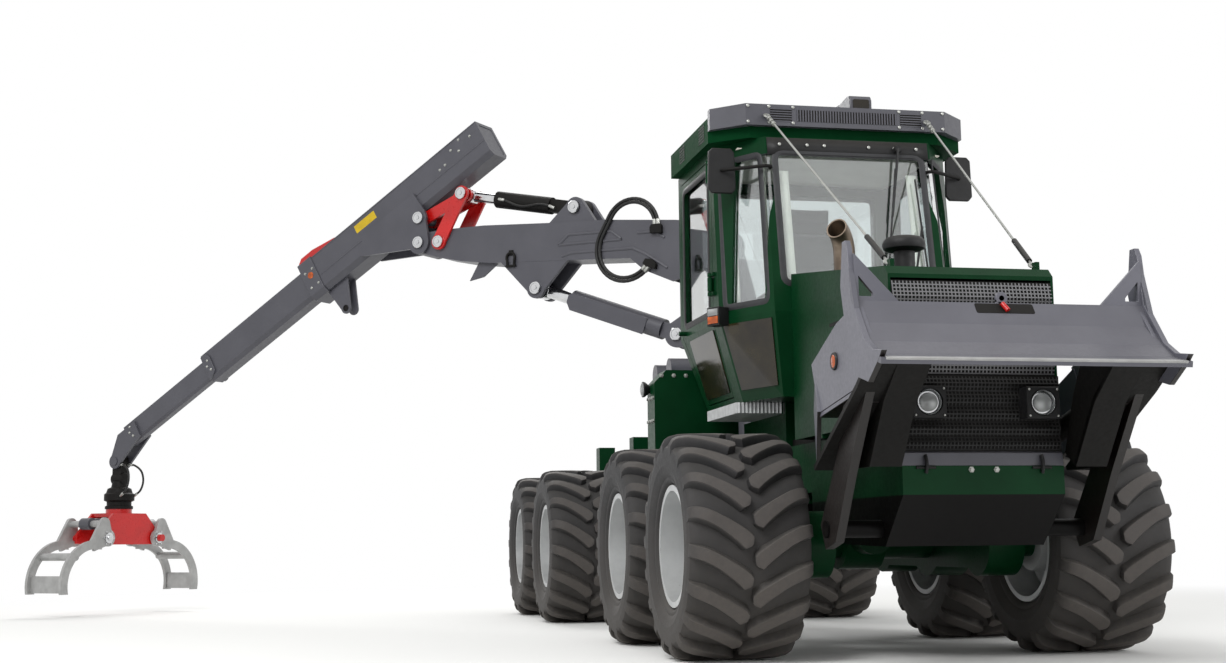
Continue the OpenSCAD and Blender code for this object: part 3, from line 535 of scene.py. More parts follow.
def turned(profile: Sequence[Point], sides: int) -> Shape:
    """Turn a profile of (radius, height) pairs about the Z axis, closed at both ends by fans.

    Args:
        profile: Radius and height of each ring, from one end to the other.
        sides: Corners of each ring.
    Returns:
        Points at radius times cosine and sine of the angle, and faces.
    """
    p = np.asarray(profile, float)
    t = np.linspace(0, 2 * np.pi, sides, endpoint=False)
    ring = np.stack([p[:, 0, None] * np.cos(t), p[:, 0, None] * np.sin(t),
                     np.repeat(p[:, 1, None], sides, 1)], -1)
    ends = np.array([[0, 0, p[0, 1]], [0, 0, p[-1, 1]]])
    k = np.arange(sides)
    last = (len(p) - 1) * sides
    fan0 = np.stack([np.full(sides, len(p) * sides), (k + 1) % sides, k], -1)
    fan1 = np.stack([np.full(sides, len(p) * sides + 1), last + k, last + (k + 1) % sides], -1)
    return np.concatenate([ring.reshape(-1, 3), ends]), [quads(len(p), sides, False, True),
                                                         np.concatenate([fan0, fan1])]


def stamped(shape: Shape, places: Array, axes: Array) -> Shape:
    """Repeat a shape at many places, its Z axis along each given axis.

    Args:
        shape: Points and faces of one copy.
        places: Where each copy's origin goes.
        axes: Direction of each copy's Z axis.
    Returns:
        Points and faces of all the copies: place plus point times the copy's frame.
    """
    points, faces = shape
    spots = np.asarray(places, float).reshape(-1, 3)
    ways = np.broadcast_to(np.asarray(axes, float), spots.shape)
    all_points = spots[:, None, :] + np.einsum("kc,ncd->nkd", points, frames(ways))
    shift = (np.arange(len(spots)) * len(points))[:, None, None]
    return all_points.reshape(-1, 3), [(f[None] + shift).reshape(-1, f.shape[1]) for f in faces]


def tube(path: Array, radius: float | Array, sides: int = 10, across: Point = (0.0, 0.0, 1.0),
         flat: float = 1.0) -> Shape:
    """Carry a round or flattened ring along a path, with closed ends.

    Args:
        path: Points of the path.
        radius: Radius, one for all or one for each point.
        sides: Corners of the ring.
        across: Direction that is never along the path, which sets the ring's flat side.
        flat: Ring's size along that direction as a share of the radius.
    Returns:
        Points at path plus radius times the ring in the plane square to the path, and faces.
    """
    p = np.asarray(path, float)
    way = np.gradient(p, axis=0)
    way /= np.linalg.norm(way, axis=1, keepdims=True)
    u = np.cross(way, np.asarray(across, float))
    u /= np.linalg.norm(u, axis=1, keepdims=True)
    v = np.cross(way, u)
    t = np.linspace(0, 2 * np.pi, sides, endpoint=False)[None, :, None]
    r = np.broadcast_to(np.asarray(radius, float).reshape(-1, 1, 1), (len(p), 1, 1))
    ring = p[:, None] + r * (np.cos(t) * u[:, None] + flat * np.sin(t) * v[:, None])
    k = np.arange(sides)[None]
    caps = np.concatenate([k, (len(p) - 1) * sides + k[:, ::-1]])
    return ring.reshape(-1, 3), [quads(len(p), sides, False, True), caps]


def loop(path: Array, radius: float, sides: int = 8, flat: float = 1.0,
         across: Point = (0.0, 0.0, 1.0)) -> Shape:
    """Carry a ring round a closed path.

    Args:
        path: Points of the closed path, the first one not repeated.
        radius: Radius of the ring.
        sides: Corners of the ring.
        flat: Ring's size along the path's own normal as a share of the radius.
        across: Normal of the path's plane.
    Returns:
        Points at path plus the ring, and faces closed both ways.
    """
    p = np.asarray(path, float)
    way = np.roll(p, -1, 0) - np.roll(p, 1, 0)
    way /= np.linalg.norm(way, axis=1, keepdims=True)
    v = np.broadcast_to(np.asarray(across, float) / np.linalg.norm(across), p.shape)
    u = np.cross(way, v)
    t = np.linspace(0, 2 * np.pi, sides, endpoint=False)[None, :, None]
    ring = p[:, None] + radius * (np.cos(t) * u[:, None] + flat * np.sin(t) * v[:, None])
    return ring.reshape(-1, 3), [quads(len(p), sides, True, True)]


def prism(outline: Sequence[Point], origin: Point, u: Point, v: Point, depth: float) -> Shape:
    """Carry a flat outline straight along the normal of its plane.

    Args:
        outline: Corners as pairs measured along u and v.
        origin: Place of the pair (0, 0).
        u: First direction of the plane.
        v: Second direction of the plane.
        depth: Distance along u cross v.
    Returns:
        Points at origin plus pair times directions, at both ends, and faces.
    """
    q = np.asarray(outline, float)
    a, b = np.asarray(u, float), np.asarray(v, float)
    base = np.asarray(origin, float) + q[:, :1] * a + q[:, 1:] * b
    points = np.concatenate([base, base + depth * np.cross(a, b)])
    n = len(q)
    k = np.arange(n)
    side = np.stack([k, (k + 1) % n, n + (k + 1) % n, n + k], -1)
    return points, [side, k[None, ::-1], n + k[None]]


def sleeve(outer: Array, inner: Array, way: Point) -> Shape:
    """Carry a closed band between two outlines along one direction.

    Args:
        outer: Points of the outer outline.
        inner: As many points of the inner outline.
        way: Vector from one end to the other.
    Returns:
        Points and faces of a frame with an opening through it.
    """
    step = np.asarray(way, float)
    rings = np.stack([outer, outer + step, inner + step, inner])
    return rings.reshape(-1, 3), [quads(4, len(outer), True, True)]


def slab(low: Point, high: Point) -> Shape:
    """Give the upright prism between two corners of a box."""
    (x0, y0, z0), (x1, y1, z1) = low, high
    return prism([(x0, y0), (x1, y0), (x1, y1), (x0, y1)], (0, 0, z0), LEFTWARD, (0, 1, 0), z1 - z0)


def upright(outline: Sequence[Point], x: float, depth: float) -> Shape:
    """Carry an outline of Y and Z pairs straight along X from a given X."""
    return prism(outline, (x, 0, 0), (0, 1, 0), UP, depth)


def smooth_path(corners: Sequence[Point], count: int) -> Array:
    """Draw one smooth curve through given points.

    Args:
        corners: Points that the curve passes through.
        count: Points on the curve.
    Returns:
        Points of the Catmull-Rom cubic through the corners, evenly spread in its parameter.
    """
    p = np.asarray(corners, float)
    q = np.concatenate([[2 * p[0] - p[1]], p, [2 * p[-1] - p[-2]]])
    t = np.linspace(0, len(p) - 1 - 1e-9, count)
    i, f = t.astype(int), (t % 1.0)[:, None]
    a, b, c, d = q[i], q[i + 1], q[i + 2], q[i + 3]
    return 0.5 * (2 * b + (c - a) * f + (2 * a - 5 * b + 4 * c - d) * f ** 2 + (3 * b - a - 3 * c + d)
                  * f ** 3)


def rounded(corners: Sequence[Point], radius: float, steps: int = 5) -> Array:
    """Round the corners of a closed outline.

    Args:
        corners: Corners of the outline, in order.
        radius: How far from a corner its rounding begins.
        steps: Points on each rounding.
    Returns:
        Points of a quadratic curve from the start of each rounding, past its corner, to its end.
    """
    p = np.asarray(corners, float)
    back, on = np.roll(p, 1, 0) - p, np.roll(p, -1, 0) - p
    a = p + radius * back / np.linalg.norm(back, axis=1, keepdims=True)
    b = p + radius * on / np.linalg.norm(on, axis=1, keepdims=True)
    t = np.linspace(0, 1, steps)[None, :, None]
    curve = (1 - t) ** 2 * a[:, None] + 2 * t * (1 - t) * p[:, None] + t ** 2 * b[:, None]
    return curve.reshape(-1, p.shape[1])


class Piece:
    """One piece of the scene, gathered from shapes and set down as a single mesh."""

    def __init__(self, name: str) -> None:
        """Start an empty piece under its name."""
        self.name = name
        self.points: list[Array] = []
        self.faces: list[Array] = []
        self.count = 0
        self.worn: list[Array] = []

    def join(self, shape: Shape, worn: Array | None = None) -> "Piece":
        """Add a shape to the piece.

        Args:
            shape: Points and faces.
            worn: Share of wear at each point, none if left out.
        Returns:
            The piece itself.
        """
        points, faces = shape
        self.points.append(points)
        self.faces.extend(f + self.count for f in faces)
        self.worn.append(np.zeros(len(points)) if worn is None else worn)
        self.count += len(points)
        return self

    def place(self, body: str, finish: Finish, slot: str, crease: float = 30.0, bevel: float = 0.0,
              thick: float = 0.0) -> bpy.types.Object:
        """Make the mesh, dress it and hand it to the body that carries it.

        Args:
            body: Body that carries the piece.
            finish: Finish of the piece.
            slot: Material slot of the record; not used.
            crease: Angle in degrees above which an edge stays sharp.
            bevel: Width of a bevel on sharp edges in metres.
            thick: Thickness given to an open sheet in metres.
        Returns:
            The new object.
        """
        mesh = bpy.data.meshes.new(self.name)
        points = np.concatenate(self.points)
        sizes = np.concatenate([np.full(len(f), f.shape[1]) for f in self.faces])
        corners = np.concatenate([f.ravel() for f in self.faces])
        mesh.vertices.add(len(points))
        mesh.vertices.foreach_set("co", points.ravel())
        mesh.loops.add(len(corners))
        mesh.loops.foreach_set("vertex_index", corners.astype(np.int32))
        mesh.polygons.add(len(sizes))
        mesh.polygons.foreach_set("loop_start", (np.cumsum(sizes) - sizes).astype(np.int32))
        mesh.update(calc_edges=True)
        mesh.validate()
        work = bmesh.new()
        work.from_mesh(mesh)
        bmesh.ops.recalc_face_normals(work, faces=work.faces)
        work.to_mesh(mesh)
        work.free()
        mesh.polygons.foreach_set("use_smooth", np.ones(len(mesh.polygons), bool))
        mesh.set_sharp_from_angle(angle=math.radians(crease))
        mesh.attributes.new("worn", "FLOAT", "POINT").data.foreach_set("value", np.concatenate(self.worn))
        item = bpy.data.objects.new(self.name, mesh)
        bpy.context.scene.collection.objects.link(item)
        item.data.materials.append(material_of(finish))
        if thick > 0.0:
            item.modifiers.new("thick", "SOLIDIFY").thickness = thick
        if bevel > 0.0:
            edge = item.modifiers.new("edge", "BEVEL")
            edge.width, edge.segments = bevel, 2
            edge.limit_method, edge.angle_limit = "ANGLE", math.radians(40)
        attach(item, body)
        LOG.info("piece %s on %s: %d points, %d faces", self.name, body, len(points), len(sizes))
        return item


def hydraulic_hose(name: str, path: Array, radius: float, body: str, across: Point,
                   replaced: str = "") -> None:
    """Args:
        name: Name of the hose.
        path: Points that it follows.
        radius: Its radius.
        body: Body that carries it.
        across: Direction that is never along the path.
        replaced: Solid that it stands for, if any.
    """
    made = Piece(name).join(tube(path, radius, 12, across)).place(body, Finish.HOSE, "hose_rubber", 50)
    collar = [(0.0, -0.006), (radius * 1.25, -0.006), (radius * 1.32, 0.006), (radius * 1.32, 0.04),
              (radius * 1.02, 0.046), (0.0, 0.046)]
    ways = np.stack([path[1] - path[0], path[-2] - path[-1]])
    fittings = stamped(turned(collar, 12), np.stack([path[0], path[-1]]), ways)
    ends = Piece(name + "_fittings").join(fittings).place(body, Finish.ZINC, "rod_chrome")
    if replaced:
        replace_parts(made, replaced)


# Places on the machine


@dataclass(frozen=True)
class Layout:
    """Main places of the machine in metres, as the solids have them."""

    wheel_r: float = 0.55
    wheel_x: float = 0.92
    lug_h: float = 0.042
    lugs: int = 18
    axles: tuple[float, ...] = (-2.7, -1.35, 1.35, 2.7)
    nose_y: float = -3.736
    hood_y0: float = -3.68
    column_y: float = 0.5
    slew: float = math.radians(140.0)
    slope: float = math.radians(30.0)
    elbow: tuple[float, float] = (2.588, 2.915)
    tip: tuple[float, float] = (3.639, 0.249)

    def crane(self, r: Any, w: Any, z: Any) -> Array:
        """Place crane points: r along the boom from the column, w across it, z up."""
        c, s = math.cos(self.slew), math.sin(self.slew)
        r, w, z = np.broadcast_arrays(np.asarray(r, float), np.asarray(w, float), np.asarray(z, float))
        return np.stack([r * c - w * s, self.column_y + r * s + w * c, z], -1)

    def jib(self, x: Any, w: Any, z: Any) -> Array:
        """Place jib points: x along the jib from the elbow pin, w across it, z square to it."""
        c, s = math.cos(self.slope), math.sin(self.slope)
        x, z = np.asarray(x, float), np.asarray(z, float)
        return self.crane(self.elbow[0] + x * c + z * s, w, self.elbow[1] - x * s + z * c)

    def across(self) -> Array:
        """Give the direction across the crane, towards the camera's side."""
        return np.array([-math.sin(self.slew), math.cos(self.slew), 0.0])

    def along(self) -> Array:
        """Give the direction along the boom, away from the column."""
        return np.array([math.cos(self.slew), math.sin(self.slew), 0.0])

    def jib_axes(self) -> tuple[Array, Array]:
        """Give the directions along the jib and square to it, upwards."""
        start = self.jib(0, 0, 0)
        return self.jib(1, 0, 0) - start, self.jib(0, 0, 1) - start

    def grapple(self, u: Any, w: Any, z: Any) -> Array:
        """Place grapple points: u along the claw pins, w from claw to claw, z up."""
        c, s = math.cos(self.slope), math.sin(self.slope)
        reach = self.elbow[0] + self.tip[0] * c + self.tip[1] * s
        return self.crane(reach + np.asarray(u, float), w, z)


LAY = Layout()


class Side(Enum):
    """Sides of the machine, by the sign of X."""

    RIGHT = -1
    LEFT = 1


def mirrored(shape: Shape, side: Side) -> Shape:
    """Put a shape that is drawn on the left on the given side."""
    return shape[0] * np.array([side.value, 1.0, 1.0]), shape[1]


# Sub-assemblies


@dataclass
class Wheels:
    """Eight tyres with chevron lugs, their wheel nuts, valves and hub caps.

    Attributes:
        tread_r: Radius of the tread between the lugs.
        nut_ring: Radius of the ring of nuts.
        nuts: Nuts on one wheel.
        turns: Steps of the carcass round its axis.
    """

    tread_r: float = LAY.wheel_r - LAY.lug_h
    nut_ring: float = 0.187
    nuts: int = 12
    turns: int = 108

    def carcass(self) -> Shape:
        """Turn the tyre's closed section about its axis.

        Returns:
            Points at (radius, across) of the section, spun about the axis, and faces.
        """
        t = self.tread_r
        half = [(0.2863, 0.236), (0.29, 0.2447), (0.3, 0.2452), (0.307, 0.258), (0.313, 0.27),
                (0.321, 0.2755), (0.33, 0.2765), (0.336, 0.2755), (0.342, 0.281), (0.362, 0.29),
                (0.386, 0.2965), (0.391, 0.2985), (0.396, 0.2985), (0.401, 0.2978), (0.43, 0.2995),
                (0.452, 0.2985), (t - 0.03, 0.292), (t - 0.016, 0.277), (t - 0.007, 0.248),
                (t - 0.001, 0.2), (t + 0.001, 0.1), (t + 0.002, 0.0)]
        section = np.array(half + [(r, -a) for r, a in half[-2::-1]] + [(0.2863, 0.0)])
        turn = np.linspace(0, 2 * np.pi, self.turns, endpoint=False)[:, None]
        across = np.repeat(section[None, :, 1], self.turns, 0)
        points = np.stack([section[:, 0] * np.cos(turn), section[:, 0] * np.sin(turn), across], -1)
        return points.reshape(-1, 3), [quads(self.turns, len(section), True, True)]

    def lugs(self, side: Side) -> tuple[Shape, Array]:
        """Sweep the lugs: a bent bar from a blunt nose by the middle out over the shoulder.

        A lug's middle line runs from the nose to the shoulder along a cubic. Its section is a bank with a
        flat top and sloping sides, closed below the tread. Its height above the axis is the tread's plus
        the bank's.

        Args:
            side: Side of the machine, which sets the way the noses lead.
        Returns:
            Points and faces of all lugs in the wheel's own frame, and the wear at each point.
        """
        ns, nq = 20, 12
        s = np.linspace(0, 1, ns)
        middle = smooth_path([(0.088, 0.012), (0.05, 0.052), (-0.01, 0.145), (-0.049, 0.226),
                              (-0.068, 0.2965)], ns)
        half = np.interp(s, [0, 0.06, 0.2, 0.55, 1.0], [0.024, 0.036, 0.037, 0.03, 0.03])
        foot = np.array([-1.3, -1.12, -1.0, -0.86, -0.3, 0.3, 0.86, 1.0, 1.12, 1.3, 1.3, -1.3])
        rise = np.array([0.0, 0.45, 0.86, 1.0, 1.02, 1.02, 1.0, 0.86, 0.45, 0.0, -0.32, -0.32])
        top = LAY.wheel_r - np.interp(middle[:, 1], [0.0, 0.02, 0.21, 0.262, 0.285, 0.2965],
                                      [0.002, 0.0, 0.0, 0.01, 0.026, 0.052])
        floor = self.tread_r - np.interp(middle[:, 1], [0.0, 0.2, 0.25, 0.2965], [0.0, 0.002, 0.012, 0.055])
        lead = np.stack([-np.gradient(middle[:, 1]), np.gradient(middle[:, 0])], -1)
        lead /= np.linalg.norm(lead, axis=1, keepdims=True)
        round_in = np.sqrt(np.clip(1 - (1 - np.clip(s / 0.05, 0, 1)) ** 2, 0.12, 1))
        width = half * round_in
        t = middle[:, None, 0] + lead[:, None, 0] * foot * width[:, None]
        close = np.clip(1 - s[:, None] ** 8, 0.12, 1)
        a = np.clip(middle[:, None, 1] + lead[:, None, 1] * foot * width[:, None] * close, 0.003, 0.2985)
        h = floor[:, None] + (top - floor)[:, None] * rise
        rubbed = np.interp(s, [0, 0.1, 0.8, 1.0], [0.7, 1.0, 0.9, 0.3])
        worn = np.clip((rise - 0.8) / 0.2, 0, 1)[None] * rubbed[:, None]
        caps = [np.arange(nq)[None, ::-1], (ns - 1) * nq + np.arange(nq)[None]]
        step = 2 * np.pi / LAY.lugs
        turn = np.arange(LAY.lugs)[:, None, None] * step
        near = turn + side.value * t[None] / self.tread_r
        far = near + step / 2
        ring = [np.stack([h * np.cos(g), h * np.sin(g), np.broadcast_to(k * a, g.shape)], -1)
                for g, k in ((near, 1.0), (far, -1.0))]
        points = np.concatenate(ring).reshape(-1, 3)
        shift = (np.arange(2 * LAY.lugs) * ns * nq)[:, None, None]
        faces = [(f[None] + shift).reshape(-1, f.shape[1]) for f in [quads(ns, nq, False, True)] + caps]
        return (points, faces), np.tile(worn.ravel(), 2 * LAY.lugs)

    def set_down(self, shape: Shape, y: float, side: Side) -> Shape:
        """Carry a shape from a wheel's own frame, axis along Z, to its axle."""
        p, faces = shape
        k = side.value
        return np.stack([k * (LAY.wheel_x + p[:, 2]), y + p[:, 1], LAY.wheel_r - k * p[:, 0]], -1), faces

    def build(self) -> None:
        """Make the tyre, the nuts, the valve and the hub cap of every wheel."""
        hub = turned([(0.0, -0.104), (0.132, -0.104), (0.134, -0.078), (0.126, -0.066), (0.094, -0.06),
                      (0.09, -0.04), (0.082, -0.03), (0.03, -0.026), (0.028, -0.016), (0.0, -0.016)], 40)
        nut = turned([(0.021, 0.0), (0.021, 0.003), (0.0155, 0.003), (0.0155, 0.018), (0.013, 0.021),
                      (0.009, 0.021), (0.009, 0.03), (0.0, 0.031)], 6)
        ring = np.linspace(0, 2 * np.pi, self.nuts, endpoint=False)
        circle = np.stack([self.nut_ring * np.cos(ring), self.nut_ring * np.sin(ring),
                           np.full(self.nuts, -0.0935)], -1)
        nuts = stamped(nut, circle, UP)
        stem = np.array([[0.25, 0.03, 0.02], [0.246, 0.03, 0.06], [0.243, 0.03, 0.09]])
        valve = tube(stem, 0.006, 8, (0, 1, 0))
        for number, y in enumerate(LAY.axles, 1):
            for side in Side:
                tag = f"{number}{'r' if side is Side.RIGHT else 'l'}"
                tyre = Piece(f"tread_tyre_{tag}").join(self.set_down(self.carcass(), y, side))
                bars, worn = self.lugs(side)
                tyre.join(self.set_down(bars, y, side), worn)
                made = tyre.place(f"wheel_{tag}", Finish.TYRE, "tyre_rubber", 32)
                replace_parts(made, f"tyre_{tag}")
                small = Piece(f"wheel_nuts_{tag}").join(self.set_down(nuts, y, side))
                small.join(self.set_down(valve, y, side))
                small.place(f"wheel_{tag}", Finish.ZINC, "rod_chrome", 25)
                cap = Piece(f"hub_cap_{tag}").join(self.set_down(hub, y, side))
                cap.place(f"wheel_{tag}", Finish.RIM, "rim_paint")


@dataclass
class Nose:
    """Folded mesh screens, head lamps, latch strip, bay panels and hood vents of the machine's front.

    Attributes:
        pitch: Distance between two wires of a screen.
        wire: Width of one wire.
        lamp: X of the left head lamp's middle, Y of its face and height of its middle.
    """

    pitch: float = 0.0175
    wire: float = 0.0062
    lamp: tuple[float, float, float] = (0.269, LAY.nose_y - 0.064, 1.17)

    def screen(self, x0: float, x1: float, z0: float, z1: float, y: float, folds: int,
               depth: float) -> Shape:
        """Weave a screen from upright and level strips over folds.

        The depth is a triangle wave of the height with the given number of folds; strips are a wire wide.

        Args:
            x0: Left edge.
            x1: Right edge.
            z0: Lower edge.
            z1: Upper edge.
            y: Plane of the screen's back.
            folds: Level folds over its height.
            depth: How far a fold stands forward.
        Returns:
            Points and faces of all the strips.
        """
        def out(z: Array) -> Array:
            """Give the folded sheet's depth at a height."""
            u = (z - z0) / (z1 - z0) * folds
            return y - depth * (1 - np.abs(2 * (u % 1.0) - 1))

        half = self.wire / 2
        xs = np.arange(x0 + half, x1, self.pitch)
        zs = np.arange(z0 + half, z1, self.pitch)
        rows = np.linspace(z0, z1, folds * 4 + 1)
        edge = np.array([-half, half])
        up = np.stack(np.broadcast_arrays(xs[:, None, None] + edge[None, None], out(rows)[None, :, None],
                                          rows[None, :, None]), -1)
        n = len(rows)
        base = quads(n, 2)
        f_up = (base[None] + (np.arange(len(xs)) * n * 2)[:, None, None]).reshape(-1, 4)
        level = np.stack(np.broadcast_arrays(np.array([x0, x1])[None, :, None],
                                             out(zs[:, None, None] + edge) + 0.0008,
                                             zs[:, None, None] + edge[None, None]), -1)
        f_level = (quads(2, 2)[None] + (np.arange(len(zs)) * 4)[:, None, None]).reshape(-1, 4)
        return np.concatenate([up.reshape(-1, 3), level.reshape(-1, 3)]), [f_up, f_level + len(xs) * n * 2]

    def screens(self) -> None:
        """Weave the pale upper screen and the dark lower one."""
        pale = self.screen(-0.385, 0.385, 1.306, 1.726, LAY.hood_y0 - 0.002, 3, 0.016)
        Piece("upper_screen").join(pale).place("front_frame", Finish.MESH, "soot_paint", 20)
        dark = self.screen(-0.378, 0.378, 0.962, 1.292, LAY.nose_y + 0.022, 5, 0.016)
        Piece("lower_screen").join(dark).place("front_frame", Finish.PLASTIC, "soot_paint", 20)

    def lamps(self) -> None:
        """Build the head lamps: a square housing with a round recess, a bezel, a lens and four screws.

        Its rings go from a square, whose radius is 1 over the larger of cosine and sine, to a circle.
        """
        n = 48
        t = np.linspace(0, 2 * np.pi, n, endpoint=False)
        square = 1 / np.maximum(np.abs(np.cos(t)), np.abs(np.sin(t)))
        outer = [(0.075, 0.067, 0.0875), (0.079, 0.071, 0.08), (0.079, 0.071, 0.004), (0.076, 0.068, 0.0)]
        inner = [(0.0625, 0.0605, 0.0), (0.06, 0.059, 0.022), (0.001, 0.001, 0.022)]
        rings = [(w, h, d, square) for w, h, d in outer] + [(w, h, d, 1.0) for w, h, d in inner]
        shell = np.stack([np.stack([w * k * np.cos(t), np.full(n, d), h * k * np.sin(t)], -1)
                          for w, h, d, k in rings])
        mids = np.array([self.lamp]) * np.array([[-1, 1, 1], [1, 1, 1]])
        housing = Piece("lamp_housings")
        for mid in mids:
            housing.join((shell.reshape(-1, 3) + mid, [quads(len(rings), n, False, True)]))
        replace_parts(housing.place("front_frame", Finish.PLASTIC, "lamp_lens"), "lamps")
        rim = turned([(0.0, 0.0), (0.059, 0.0), (0.059, 0.018), (0.0565, 0.022), (0.053, 0.017),
                      (0.048, 0.005), (0.0, 0.005)], 36)
        bulb = turned([(0.0, 0.0), (0.042, 0.0), (0.0415, 0.006), (0.032, 0.013), (0.018, 0.0165),
                       (0.0, 0.0175)], 36)
        screw = turned([(0.005, 0.0), (0.005, 0.003), (0.0035, 0.0045), (0.0, 0.0045)], 8)
        bezels = Piece("lamp_bezels").join(stamped(rim, mids + np.array([0, 0.024, 0]), AHEAD))
        bezels.place("front_frame", Finish.CHROME, "lamp_lens")
        lenses = Piece("lamp_lenses").join(stamped(bulb, mids + np.array([0, 0.017, 0]), AHEAD))
        lenses.place("front_frame", Finish.CLEAR, "lamp_lens", 40)
        screws = Piece("lamp_screws")
        for mid in mids:
            spots = mid + np.array([(a, 0, b) for a in (-0.067, 0.067) for b in (-0.059, 0.059)])
            screws.join(stamped(screw, spots, AHEAD))
        screws.place("front_frame", Finish.ZINC, "rod_chrome")

    def trim(self) -> None:
        """Fit the latch strip below the screen, the panels beside the engine and the hood's vents, black
        sheets of painted shade for its louvre holes.
        """
        strip = [(-3.712, 0.958), (-3.73, 0.95), (-3.7362, 0.9), (-3.7362, 0.8925), (-3.695, 0.8925),
                 (-3.695, 0.958)]
        latch = Piece("latch_strip").join(upright(strip, -0.383, 0.766))
        latch.place("front_frame", Finish.GRAPHITE, "graphite_paint", bevel=0.002)
        bay, vents = Piece("bay_panels"), Piece("hood_vents")
        for side in Side:
            x = side.value * 0.3
            bay.join(slab((x - 0.004, -3.6, 0.88), (x + 0.004, -1.9, 1.12)))
            for z in np.linspace(1.32, 1.62, 7):
                outline = rounded([(-3.0, z), (-2.86, z), (-2.86, z + 0.018), (-3.0, z + 0.018)], 0.008)
                vents.join(upright(outline, side.value * 0.4005 - 0.0007, 0.0014))
        bay.place("front_frame", Finish.SOOT_AND_SHADE, "soot_paint")
        # The vents are black sheets of painted shade for the louvre holes.
        vents.place("front_frame", Finish.SOOT_AND_SHADE, "soot_paint")

    def build(self) -> None:
        """Dress the front from its screens to the hood's vents."""
        self.screens()
        self.lamps()
        self.trim()


